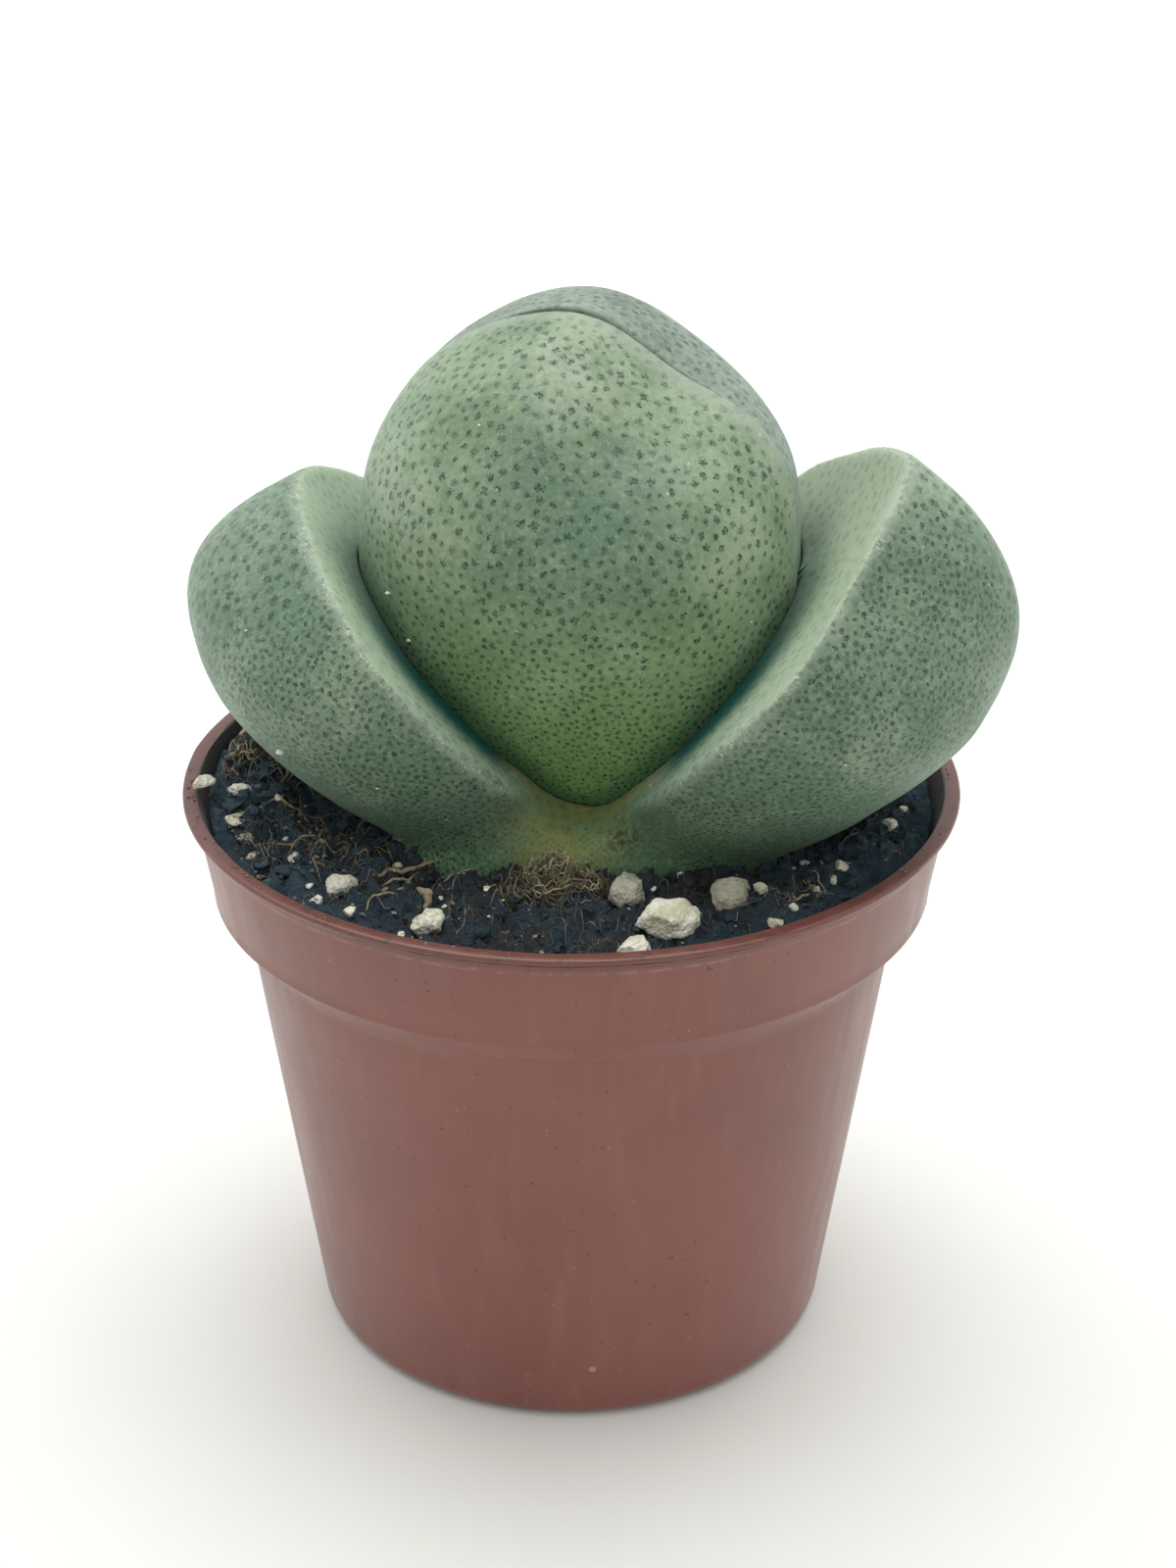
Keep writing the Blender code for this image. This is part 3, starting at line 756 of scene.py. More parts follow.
def pot_plastic():
    """Matt terracotta-coloured plastic: drawn streaks, scratches, dust, a soiled lip with a line of painted
    shade under it, and painted shade on the inside.
    """
    n = Nodes("pot_plastic")
    streak = n.noise(700.0, vector=n.scaled(0.12))
    n.colour = n.mix(n.ramp(n.noise(60.0), 0.3, 0.7), rgb(0.168, 0.046, 0.033), rgb(0.200, 0.058, 0.041))
    n.lay(rgb(0.26, 0.115, 0.088), n.ramp(streak, 0.45, 0.75, 0.0, 0.25))
    n.lay(rgb(0.34, 0.18, 0.14), n.ramp(n.noise(420.0, 6.0, 0.7), 0.66, 0.72), 0.25)
    n.lay(rgb(0.42, 0.33, 0.27), n.ramp(n.noise(2600.0, 2.0), 0.70, 0.78), 0.35)
    n.lay(rgb(0.045, 0.02, 0.014), n.ramp(n.noise(1900.0, 1.0), 0.745, 0.765), 0.8)
    # a pale moulding nub low in front
    n.lay(rgb(0.40, 0.25, 0.20), n.patch((1.5, -19.5, 4.7), 0.34, 0.20), 0.7)
    # the lip is darker and dirtier; under it lie a dark line of painted shade below the bead, and a broken
    # pale one
    height = n.axis("Z")
    lip_z = POT_HEIGHT - POT_LIP_HEIGHT

    def line(level, rise_from, rise_to, fall_from=0.0, fall_to=0.0):
        """A level band around the pot, given by how far above the lip's start it begins and ends."""
        band = n.ramp(level, (lip_z + rise_from) * MM, (lip_z + rise_to) * MM)
        if not fall_from:
            return band
        return n.times(band, n.ramp(level, (lip_z + fall_from) * MM, (lip_z + fall_to) * MM))

    rim = line(height, 0.10, 0.22)
    n.lay(rgb(0.088, 0.019, 0.013), rim, 0.55)
    dirty = n.ramp(n.noise(1100.0, 4.0, 0.7), 0.55, 0.66)
    n.lay(rgb(0.030, 0.020, 0.016), dirty, rim, 0.75)
    # painted shade: the dark line in the groove under the lip's bead
    n.lay(rgb(0.060, 0.022, 0.016), line(height, -0.75, -0.45, -0.20, -0.32), 0.5)
    wander = n.plus(height, n.times(n.math("SUBTRACT", n.noise(350.0), 0.5), 0.35 * MM))
    flash = line(wander, -1.02, -0.92, -0.74, -0.86)
    n.lay(rgb(0.36, 0.20, 0.165), flash, n.ramp(n.noise(900.0), 0.42, 0.56), 0.35)
    # painted shade on the inside wall, mottled, where the surface faces the middle
    level = n.add("ShaderNodeVectorMath", {0: n.place, 1: (1.0, 1.0, 0.0)}, operation="MULTIPLY")
    facing = n.add("ShaderNodeNewGeometry").outputs["Normal"]
    inward = n.add("ShaderNodeVectorMath", {0: level.outputs["Vector"], 1: facing}, operation="DOT_PRODUCT")
    inside = n.ramp(inward.outputs["Value"], -0.004, -0.015)
    n.lay(rgb(0.030, 0.026, 0.028), inside, n.ramp(n.noise(500.0, 4.0), 0.2, 0.55, 0.45, 0.9))
    grain = n.plus(n.noise(3500.0, 2.0), n.times(streak, 0.6))
    return n.finish(n.ramp(streak, 0.3, 0.8, 0.34, 0.48), n.bump(grain, 0.12, 0.00006),
                    Specular_IOR_Level=0.7, Sheen_Weight=0.12, Sheen_Roughness=0.4)


def peat():
    """Dark peat with brown patches and pale specks, painted a lighter blue towards the sides as it looks in
    the leaves' shade.
    """
    n = Nodes("peat")
    clod = n.noise(420.0, 5.0, 0.65)
    fine = n.noise(2600.0, 4.0, 0.7)
    n.colour = n.mix(n.ramp(clod, 0.38, 0.68), rgb(0.034, 0.060, 0.080), rgb(0.056, 0.073, 0.084))
    n.lay(rgb(0.10, 0.085, 0.07), n.ramp(fine, 0.58, 0.72, 0.0, 0.5))
    n.lay(rgb(0.058, 0.044, 0.040), n.ramp(n.noise(240.0), 0.50, 0.62, 0.0, 0.65))
    # painted shade: towards the sides the soil takes the lighter blue that it shows in the leaves' shade
    aside = n.ramp(n.math("ABSOLUTE", n.axis("X")), 8.0 * MM, 18.0 * MM)
    n.lay(rgb(0.074, 0.130, 0.168), aside, n.ramp(clod, 0.65, 0.40, 0.30, 0.85))
    n.lay(rgb(0.38, 0.34, 0.27), n.ramp(n.noise(3400.0, 2.0), 0.69, 0.74), 0.7)
    return n.finish(n.ramp(fine, 0.3, 0.7, 0.8, 1.0), n.bump(n.plus(fine, clod), 1.0, 0.0008),
                    Specular_IOR_Level=0.25)


def grit(name, tone, stain):
    """Chalky perlite, greener in stained patches and greyer where the mesh says that it is dull."""
    n = Nodes(name)
    fine = n.noise(3800.0, 4.0, 0.7)
    shaded = rgb(tone[0] * 0.86, tone[1] * 0.85, tone[2] * 0.76)
    n.colour = n.mix(n.ramp(n.noise(700.0, 4.0), 0.35, 0.7), tone, shaded)
    n.lay(rgb(0.24, 0.21, 0.15), n.ramp(fine, 0.60, 0.76, 0.0, 0.6))
    n.lay(stain, n.ramp(n.noise(330.0, 2.0), 0.56, 0.70, 0.0, 0.7))
    n.lay(rgb(0.40, 0.385, 0.30), n.attribute("dull"), n.ramp(n.noise(1400.0, 4.0, 0.7), 0.3, 0.6, 0.7, 1.0))
    relief = n.plus(fine, n.cells(3200.0))
    return n.finish(n.ramp(fine, 0.3, 0.7, 0.85, 1.0), n.bump(relief, 0.8, 0.00025),
                    Specular_IOR_Level=0.25)


def straw(name, pale, dark):
    """Dry plant matter, darker in patches and by a value on the mesh: its age, and in a mound painted shade
    deep inside.
    """
    n = Nodes(name)
    n.colour = n.mix(n.ramp(n.noise(500.0), 0.35, 0.65, 0.0, 0.7), pale, dark)
    n.lay(dark, n.ramp(n.attribute("age_and_shade"), 0.2, 0.95, 0.0, 0.85))
    n.lay(rgb(0.03, 0.022, 0.015), n.ramp(n.noise(4000.0, 2.0), 0.5, 0.75, 0.0, 0.6))
    roughness = n.ramp(n.noise(2000.0), 0.3, 0.7, 0.7, 0.95)
    return n.finish(roughness, n.bump(n.noise(5000.0), 0.6, 0.0001))


def root_skin():
    n = Nodes("root_skin")
    ring = n.noise(900.0, 4.0)
    n.colour = n.mix(n.ramp(ring, 0.35, 0.7), rgb(0.30, 0.20, 0.11), rgb(0.16, 0.10, 0.055))
    return n.finish(n.ramp(ring, 0.3, 0.7, 0.7, 0.9), n.bump(ring, 0.7, 0.0003))


def table_top():
    n = Nodes("table_top")
    n.colour = n.mix(n.ramp(n.noise(40.0), 0.3, 0.7), rgb(0.83, 0.845, 0.805), rgb(0.85, 0.865, 0.83))
    # painted shade: the table darker towards the front, as if the light fell from behind
    n.lay(rgb(0.70, 0.705, 0.655), n.ramp(n.axis("Y"), 0.06, -0.16))
    return n.finish(0.6, Specular_IOR_Level=0.3)


# Pieces

def beside(r, z, steps):
    return [(r + dr, z + dz) for dr, dz in steps]


def slope(start, end, shares):
    return [(start[0] + (end[0] - start[0]) * t, start[1] + (end[1] - start[1]) * t) for t in shares]


def pot_profile(lip_z):
    """The pot's outline from its underside up the outside, over the lip and down the inside."""
    foot = [(6.0, 0.0), (12.0, 0.0), (15.5, 0.0)]
    for k in range(9):
        a = 0.5 * pi * k / 8
        foot.append((POT_BASE_R - POT_FOOT_ROUND * (1 - sin(a)), POT_FOOT_ROUND * (1 - cos(a))))
    wall = slope((POT_BASE_R, POT_FOOT_ROUND), (POT_BODY_TOP_R - 0.12, POT_BODY_TOP_Z - 1.8),
                 np.linspace(0.04, 1.0, 20))
    collar = beside(POT_BODY_TOP_R, POT_BODY_TOP_Z,
                    ((-0.05, -1.0), (0.02, -0.45), (0.30, -0.08), (0.42, 0.0)))
    collar += beside(POT_COLLAR_LOW_R, POT_COLLAR_LOW_Z,
                     ((-0.42, -0.42), (-0.12, -0.15), (0.03, 0.02), (0.05, 0.18), (0.04, 0.5)))
    collar += slope((POT_COLLAR_LOW_R + 0.04, POT_COLLAR_LOW_Z + 0.5),
                    (POT_COLLAR_TOP_R - 0.02, lip_z - 0.5), np.linspace(0.1, 1.0, 9))
    lip = beside(POT_COLLAR_TOP_R, lip_z,
                 ((0.05, -0.30), (0.34, -0.16), (0.40, -0.08), (0.28, 0.0), (0.30, 0.06)))
    lip += beside(POT_RIM_R, lip_z, ((-0.08, 0.16), (0.0, 0.28)))
    lip += beside(POT_RIM_R, POT_HEIGHT,
                  ((0.0, -0.22), (-0.06, -0.07), (-0.2, 0.0), (-0.6, -0.03), (-0.95, 0.0), (-1.08, -0.05)))
    lip.append((pot_inner_r(POT_HEIGHT), POT_HEIGHT - 0.2))
    heights = [*np.linspace(POT_HEIGHT - 1.0, POT_COLLAR_LOW_Z + 0.4, 10),
               *np.linspace(POT_BODY_TOP_Z + 0.5, POT_FLOOR + 0.5, 14)]
    floor = beside(pot_inner_r(POT_FLOOR), POT_FLOOR, ((-0.15, 0.12), (-0.5, 0.0))) + [(6.0, POT_FLOOR)]
    return foot + wall + collar + lip + [(pot_inner_r(z), z) for z in heights] + floor


def drill(obj):
    """Cuts the drain holes, and gives back the cutters."""
    cutters = []
    for k in range(DRAIN_HOLES):
        angle = 2 * pi * (k + 0.53) / DRAIN_HOLES
        bm = bmesh.new()
        bmesh.ops.create_cone(bm, cap_ends=True, segments=40, radius1=DRAIN_R * MM, radius2=DRAIN_R * MM,
                              depth=6.0 * MM)
        for v in bm.verts:
            v.co += Vector((DRAIN_RING_R * cos(angle), DRAIN_RING_R * sin(angle), 0)) * MM
        cutter = placed("drill", baked(bm, "drill"))
        mod = obj.modifiers.new("drill", "BOOLEAN")
        mod.operation = "DIFFERENCE"
        mod.solver = "EXACT"
        mod.object = cutter
        cutters.append(cutter)
    return cutters


def make_pot(mat):
    lip_z = POT_HEIGHT - POT_LIP_HEIGHT
    rings = []
    for r, z in pot_profile(lip_z):
        ring = []
        for c, s in circle(POT_STEPS):
            wave = 0.05 * ripple(c, s, 3.0, 1.0) + 0.03 * ripple(c, s, 11, 4.0) if z > lip_z - 0.35 else 0.0
            on_bead = lip_z - 0.2 < z < lip_z - 0.05 and r > POT_COLLAR_TOP_R
            burr = 0.10 * ripple(c, s, 24.0, 9.0) if on_bead else 0.0
            out = min(r + wave * 0.6 + burr, POT_RIM_R)
            ring.append((out * c, out * s, min(z + wave, POT_HEIGHT)))
        rings.append(ring)
    mesh = applied("pot_shell", mesh_from_rings("pot_shell", (0, 0, 0), rings, (0, 0, POT_FLOOR)), drill)
    add_piece("pot_shell", mesh, mat, ["pot"], 50)


def soil_top(x, y):
    """The soil's top with its heaps and clods."""
    z = soil_height(x, y)
    for hx, hy, high, reach in HEAPS:
        away = ((x - hx) ** 2 + (y - hy) ** 2) / reach ** 2
        if away < 9.0:
            z += high * exp(-away)
    side = min(1.0, max(0.0, (abs(x) - 11.0) / 9.0)) * min(1.0, max(0.0, (hypot(x, y) - 16.0) / 7.0))
    z += 0.95 * side
    z += 0.75 * (0.36 - abs(ripple(x, y, 0.75, 21.0)) * 1.6)
    z += 0.55 * (0.3 - abs(ripple(x, y, 1.7, 14.0)) * 1.5)
    z += 0.3 * ripple(x, y, 3.4, 5.0)
    z += 0.16 * ripple(x, y, 7.0, 8.0)
    return z


def make_soil(mat):
    around = circle(SOIL_STEPS)
    rings = []
    for wall_z in (POT_FLOOR, 10.0, 20.0, POT_BODY_TOP_Z + 0.5, POT_COLLAR_LOW_Z + 0.4):
        r = pot_inner_r(wall_z) - GAP
        rings.append([(r * c, r * s, wall_z + GAP) for c, s in around])
    for k in range(SOIL_RINGS):
        r = (pot_inner_r(SOIL_LEVEL) - 0.12) * (1.0 - k / SOIL_RINGS)
        drop = 0.35 if k == 0 else 0.0
        ring = []
        for c, s in around:
            x, y = r * c, r * s
            ring.append((x, y, min(soil_top(x, y), POT_HEIGHT - 0.15) - drop))
        rings.append(ring)
    mesh = mesh_from_rings("soil_bed", (0, 0, POT_FLOOR + GAP), rings, (0, 0, soil_top(0, 0)))
    add_piece("soil_bed", mesh, mat, ["soil"])


def soften_form(mesh, seed, size):
    """Gives a leaf the slight unevenness of a grown thing."""
    co, normals = vertex_array(mesh), normal_array(mesh)
    swell = lumps(co, size, seed) * UNEVENNESS + lumps(co, size * 0.4, seed + 9.0) * UNEVENNESS * 0.3
    write_vertices(mesh, co + normals * (swell * MM)[:, None])


def make_inner_leaf(side, mat, name, node, seed):
    leaf = inner_leaf(side)
    mesh = mesh_from_rings(name, *leaf_rings(leaf, *INNER_MESH))
    soften_form(mesh, seed, 9.0)
    add_float(mesh, "ridge", nearest(ridge_points(leaf), vertex_array(mesh), 6.0))
    add_spots(mesh, [leaf["outward"]], INNER_DOTS, 1.5 if side > 0 else 0.85, 0.26, seed)
    return add_piece(name, mesh, mat, [node])


def fused(leaves):
    """The leaves and the lumps of their shared base as one closed mesh."""
    bm = bmesh.new()
    for leaf in leaves:
        bm.from_mesh(mesh_from_rings("leaf", *leaf_rings(leaf, *OUTER_MESH)))
    for centre, radii in ((SHEATH_CENTRE, SHEATH_RADII), (BRIDGE_CENTRE, BRIDGE_RADII)):
        ball = bmesh.ops.create_uvsphere(bm, u_segments=96, v_segments=48, radius=1.0)
        for v in ball["verts"]:
            v.co = Vector([(c + r * p) * MM for c, r, p in zip(centre, radii, v.co)])

    def remesh(obj):
        mod = obj.modifiers.new("remesh", "REMESH")
        mod.mode = "VOXEL"
        mod.voxel_size = VOXEL * MM

    return applied("leaf_outer_pair", baked(bm, "outer_pair"), remesh)


def relaxer(mesh):
    """A function that draws each point towards the mean of its neighbours by a share."""
    edges = read(mesh.edges, "vertices", 2, int)
    ends, starts = edges.ravel(), edges[:, ::-1].ravel()
    degree = np.bincount(ends)[:, None]

    def relax(points, share):
        total = [np.bincount(starts, points[ends, axis], len(points)) for axis in range(3)]
        return points + share * (np.stack(total, 1) / degree - points)

    return relax


def make_outer_pair(mat, inner):
    """The outer leaves as one grown piece: both leaves and their shared base, flowing together."""
    leaves = [outer_leaf(-1), outer_leaf(1)]
    mesh = fused(leaves)
    relax = relaxer(mesh)
    co = vertex_array(mesh)
    for _ in range(3):
        co = relax(co, 0.5)
    # where leaves and base run together, the creases are smoothed away
    x, y, z = (co / MM).T
    near = np.exp(-((x - 0.5) / 10.0) ** 2) * np.clip((47.0 - z) / 3.0, 0.0, 1.0)
    write_vertices(mesh, co)
    under = np.clip((0.35 - normal_array(mesh)[:, 2]) / 0.5, 0.0, 1.0)
    ahead = (np.exp(-((x - 0.5) / 6.5) ** 2) * np.clip((46.5 - z) / 2.5, 0.0, 1.0)
             * np.clip((-y - 6.5) / 3.0, 0.0, 1.0))
    for k in range(SMOOTHING_ROUNDS):
        weight = near * (np.maximum(under, ahead) if k >= SMOOTHED_ALL_OVER else 1.0)
        co = relax(co, weight[:, None] * 0.9)
    # a notch in front, where the edges of the two leaves run together
    x, y, z = (co / MM).T
    notch = (np.exp(-((x - 0.5) / 2.6) ** 2) * np.clip((z - 41.8) / 2.0, 0.0, 1.0)
             * np.clip((-y - 7.5) / 1.5, 0.0, 1.0))
    co[:, 2] -= 1.1 * MM * notch
    write_vertices(mesh, co)
    soften_form(mesh, 3.0, 8.0)
    co, moved, _ = pressed_to(vertex_array(mesh), inner)
    for _ in range(4):
        co = relax(co, moved * 0.5)
    co, _, gap = pressed_to(co, inner, 0.0)
    write_vertices(mesh, co)
    add_float(mesh, "near_inner", gap)
    co = vertex_array(mesh)
    add_float(mesh, "ridge", nearest(np.vstack([ridge_points(leaf) for leaf in leaves]), co, 6.0))
    normals = normal_array(mesh)
    facings = [leaf["outward"] for leaf in leaves]
    turned = np.maximum(-(normals @ facings[0]) * (co[:, 0] < 0), -(normals @ facings[1]) * (co[:, 0] > 0))
    add_float(mesh, "face", np.clip((turned - 0.62) / 0.2, 0.0, 1.0))
    add_spots(mesh, facings, OUTER_DOTS, 0.9, 0.30, 5, 90000)
    return add_piece("leaf_outer_pair", mesh, mat,
                     ["outer_leaf_left", "outer_leaf_right"])


def pressed_to(co, pieces, pull=0.9, clear=0.12, reach=5.0):
    """Moves points in metres out of the pieces and draws close ones up to them, by millimetres.

    It gives back the points, which of them moved, and how far each is from the pieces.
    """
    trees = []
    for piece in pieces:
        bm = bmesh.new()
        bm.from_mesh(piece.data)
        trees.append(BVHTree.FromBMesh(bm))
        bm.free()
    out = co.copy()
    moved = np.zeros((len(co), 1))
    gap = np.full(len(co), reach)
    for tree in trees:
        for i in range(len(out)):
            place = Vector(out[i])
            hit, normal, _, _ = tree.find_nearest(place, reach * MM)
            if hit is None:
                continue
            away = (place - hit) / MM
            distance = away.length * (1.0 if away.dot(normal) > 0 else -1.0)
            new = max(clear, distance - pull * exp(-max(distance, 0.0) / 2.0))
            if new < distance - 0.02 or distance < clear:
                direction = away.normalized() if distance > 0.02 else normal
                out[i] = (hit + direction * new * MM)[:]
                moved[i] = 1.0
            gap[i] = min(gap[i], new)
    return out, moved, gap


def lump_mesh(x, y, size_x, size_y, size_z, turn, seed):
    """A broken lump of perlite, its flats and corners where the solid has them."""
    ball = bmesh.new()
    bmesh.ops.create_icosphere(ball, subdivisions=4, radius=0.5)
    rng = np.random.default_rng(seed)
    planes = [(unit(rng.normal(size=3)), 0.28 + 0.13 * rng.random()) for _ in range(7)]
    planes += [(unit(rng.normal(size=3)), 0.40 + 0.06 * rng.random()) for _ in range(8)]
    z = soil_height(x, y) + 0.12 * size_z
    for v in ball.verts:
        p = np.array(v.co)
        for normal, reach in planes:
            over = float(p @ normal) - reach
            if over > 0.0:
                p = p - normal * over
        out = (0.8 * noise.noise(Vector(p * 5.0) + Vector((seed * 7.0, 0, 0)))
               + 0.5 * noise.noise(Vector(p * 11.0)) + 0.35 * noise.noise(Vector(p * 24.0)))
        p = p * (1.0 + 0.15 * out)
        px, py, pz = p[0] * size_x, p[1] * size_y, p[2] * size_z
        v.co = Vector((x + px * cos(turn) - py * sin(turn),
                       y + px * sin(turn) + py * cos(turn), z + pz)) * MM
    return baked(ball, "lump")


def joined(name, meshes):
    bm = bmesh.new()
    for mesh in meshes:
        bm.from_mesh(mesh)
    return baked(bm, name)


def make_perlite(mat):
    meshes = []
    for lump, share in zip(PERLITE, DULLNESS):
        mesh = lump_mesh(*lump)
        add_float(mesh, "dull", np.full(len(mesh.vertices), share))
        meshes.append(mesh)
    add_piece("perlite_lumps", joined("perlite_lumps", meshes), mat,
              ["perlite_%d" % (k + 1) for k in range(len(PERLITE))])


def free_spot(rng, low, high):
    a = rng.uniform(0.0, 2.0 * pi)
    r = sqrt(rng.uniform(low * low, high * high))
    return r * cos(a), r * sin(a)


def held_inside(x, y, limit, back_to):
    """A place, moved in to a radius where it lies beyond the limit."""
    away = hypot(x, y)
    return (x * back_to / away, y * back_to / away) if away > limit else (x, y)


def chips(name, seed, lift, flat, detail, rough=0.35, cuts=0, places=(), scatter=(0, 0, 0)):
    """Many small broken bits lying on the soil, in one mesh.

    They lie at places of x, y, size and for some a height, or a count of them with sizes from small to
    large is scattered. Lift is how far up they sit, for their size, and cuts is how many flats they have.
    """
    rng = np.random.default_rng(seed)
    count, small, large = scatter
    ball = bmesh.new()
    bmesh.ops.create_icosphere(ball, subdivisions=detail, radius=0.5)
    shape = np.array([v.co[:] for v in ball.verts])
    tris = [[v.index for v in f.verts] for f in ball.faces]
    ball.free()
    points, faces = [], []
    for spot in places or [None] * count:
        x, y = spot[:2] if spot else free_spot(rng, 6.0, SOIL_EDGE_R)
        size = spot[2] if spot else small + (large - small) * rng.random() ** 2.5
        body = shape * (1.0 + rough * rng.normal(size=(len(shape), 1)).clip(-1.2, 1.2))
        for _ in range(cuts):
            normal = unit(rng.normal(size=3))
            over = np.maximum(body @ normal - rng.uniform(0.16, 0.36), 0.0)
            body = body - np.outer(over, normal)
        body = body * np.array([1.0, rng.uniform(0.6, 1.0), rng.uniform(0.5, 1.0) * flat]) * size
        a = rng.uniform(0, 2 * pi)
        turn = np.array([[cos(a), -sin(a), 0], [sin(a), cos(a), 0], [0, 0, 1]])
        if spot and len(spot) > 3:
            z = spot[3]
        else:
            limit = SOIL_EDGE_R - 0.5 * size
            x, y = held_inside(x, y, limit, limit)
            z = soil_top(x, y)
        base = len(points)
        points += list(body @ turn.T + np.array([x, y, z + lift * size]))
        faces += [[base + i for i in tri] for tri in tris]
    return mesh_from_arrays(name, np.array(points) * MM, faces)


def on_skin(pieces, spots):
    """Places on the pieces' front for small bits: x, z and size become x, y, size and height."""
    found = []
    for x, z, size in spots:
        hits = [piece.ray_cast(Vector((x, -60.0, z)) * MM, Vector((0.0, 1.0, 0.0))) for piece in pieces]
        ys = [place.y / MM for hit, place, _, _ in hits if hit]
        found.append((x, min(ys), size, z))
    return found


def tube(path, radius, sides, taper):
    """Points and faces of a thin tapering tube along a path, in millimetres."""
    path = np.array(path, dtype=float)
    n = len(path)
    ahead = np.gradient(path, axis=0)
    ahead /= np.linalg.norm(ahead, axis=1)[:, None] + 1e-9
    side = np.cross(ahead, [0.0, 0.0, 1.0])
    side /= np.linalg.norm(side, axis=1)[:, None] + 1e-9
    up = np.cross(side, ahead)
    points, faces = [], []
    around = circle(sides)
    for k in range(n):
        r = radius * (1.0 - taper * abs(2.0 * k / (n - 1) - 1.0) ** 2)
        points += [path[k] + r * (side[k] * c + up[k] * s) for c, s in around]
    for k in range(n - 1):
        for j in range(sides):
            i, m = k * sides + j, k * sides + (j + 1) % sides
            faces.append([i, m, m + sides, i + sides])
    faces.append(list(range(sides))[::-1])
    faces.append([(n - 1) * sides + j for j in range(sides)])
    return points, faces


class Threads:
    """Collects thin tubes for one mesh, each with a darkening value that the material reads: an age, in a
    mound also painted shade.
    """

    def __init__(self):
        self.points, self.faces, self.ages_and_shades = [], [], []

    def add(self, path, radius, age_and_shade, sides=5, taper=0.5):
        points, faces = tube(path, radius, sides, taper)
        base = len(self.points)
        self.points += points
        self.faces += [[base + i for i in face] for face in faces]
        self.ages_and_shades += [age_and_shade] * len(points)

    def mesh(self, name):
        mesh = mesh_from_arrays(name, np.array(self.points) * MM, self.faces)
        add_float(mesh, "age_and_shade", self.ages_and_shades)
        return mesh


def fibre_path(rng, x, y, length, heading, curl, rise):
    """A wandering path over the soil that rises in its middle and turns back at the soil's edge."""
    path = []
    rise *= rng.uniform(0.7, 1.3)
    for k in range(FIBRE_STEPS):
        t = k / (FIBRE_STEPS - 1)
        lift = 0.06 + rise * sin(pi * t)
        path.append((x, y, soil_top(x, y) + lift))
        heading += curl * rng.normal()
        x += length / FIBRE_STEPS * cos(heading)
        y += length / FIBRE_STEPS * sin(heading)
        if hypot(x, y) > SOIL_EDGE_R:
            heading += pi * 0.6
            x, y = held_inside(x, y, SOIL_EDGE_R, SOIL_EDGE_R - 0.1)
    return path


def nest(name, count, x, y, wide, deep, high, radius, seed):
    """A low mound of matted fibres, each an arc around the middle."""
    rng = np.random.default_rng(seed)
    threads = Threads()
    for _ in range(count):
        reach = rng.uniform(0.05, 1.0) ** 0.7
        start, wave = rng.uniform(0.0, 2.0 * pi), rng.uniform(0.0, 2.0 * pi)
        run = rng.choice([-1.0, 1.0]) * rng.uniform(0.35, 1.1) / (reach + 0.2)
        off_x, off_y, depth = 0.45 * rng.normal(), 0.25 * rng.normal(), rng.uniform(0.15, 1.0)
        path = []
        for k in range(FIBRE_STEPS):
            a = start + run * k / (FIBRE_STEPS - 1)
            r = reach * (1.0 + 0.22 * sin(2.0 * a + wave))
            px, py = x + off_x + wide * r * cos(a), y + off_y + deep * r * sin(a)
            lift = 0.05 + high * depth * max(0.0, 1.0 - r * r) + 0.2 * sin(2.5 * a + wave)
            path.append((px, py, soil_top(px, py) + lift))
        thick = radius * rng.uniform(0.6, 1.4)
        # fibres lower in the mound are darker: painted shade inside the mound, with some random age
        threads.add(path, thick, min(1.0, 1.25 - 0.75 * depth + 0.3 * rng.normal()))
    return threads.mesh(name)


def fibres(name, groups, seed, strands=(), sides=5):
    """Bundles of fibres, and single thick strands with a bow."""
    rng = np.random.default_rng(seed)
    threads = Threads()
    for count, cx, cy, spread, length, curl, rise, radius in groups:
        for _ in range(count):
            if spread:
                x, y = cx + rng.normal() * spread, cy + rng.normal() * spread * 0.6
            else:
                x, y = free_spot(rng, 9.0, SOIL_EDGE_R - 0.5)
            x, y = held_inside(x, y, SOIL_EDGE_R - 0.2, SOIL_EDGE_R - 0.2)
            path = fibre_path(rng, x, y, length * rng.uniform(0.5, 1.3), rng.uniform(0, 2 * pi), curl,
                              rise * rng.uniform(0.2, 1.6))
            threads.add(path, radius * rng.uniform(0.6, 1.3), rng.random(), sides)
    for x0, y0, x1, y1, bow, rise, radius in strands:
        path = []
        for k in range(25):
            t = k / 24
            aside = bow * sin(pi * t) + 0.12 * noise.noise(Vector((x0, y0, t * 5.0)))
            x = x0 + (x1 - x0) * t - (y1 - y0) * aside
            y = y0 + (y1 - y0) * t + (x1 - x0) * aside
            path.append((x, y, soil_top(x, y) + 0.1 + rise * sin(pi * t)))
        z = np.convolve([p[2] for p in [path[0]] * 4 + path + [path[-1]] * 4], np.ones(9) / 9, "valid")
        threads.add([(x, y, h) for (x, y, _), h in zip(path, z)], radius, 0.25, 8, 0.45)
    return threads.mesh(name)


def make_camera():
    data = bpy.data.cameras.new("camera")
    data.sensor_width = 36.0
    data.sensor_fit = "AUTO"
    data.lens = CAMERA_LENS
    data.shift_x = CAMERA_SHIFT
    data.clip_start = 0.01
    camera = placed("camera", data)
    camera.location = CAMERA_PLACE
    camera.rotation_euler = (radians(90.0 + CAMERA_PITCH), 0.0, 0.0)
    bpy.context.scene.camera = camera


def make_light():
    data = bpy.data.lights.new("overhead", "AREA")
    data.shape = "RECTANGLE"
    data.size, data.size_y = LIGHT_SIZE
    data.energy = LIGHT_POWER
    light = placed("overhead", data)
    light.location = LIGHT_PLACE
    light.rotation_euler = (Vector(LIGHT_AIM) - Vector(LIGHT_PLACE)).to_track_quat("-Z", "Y").to_euler()


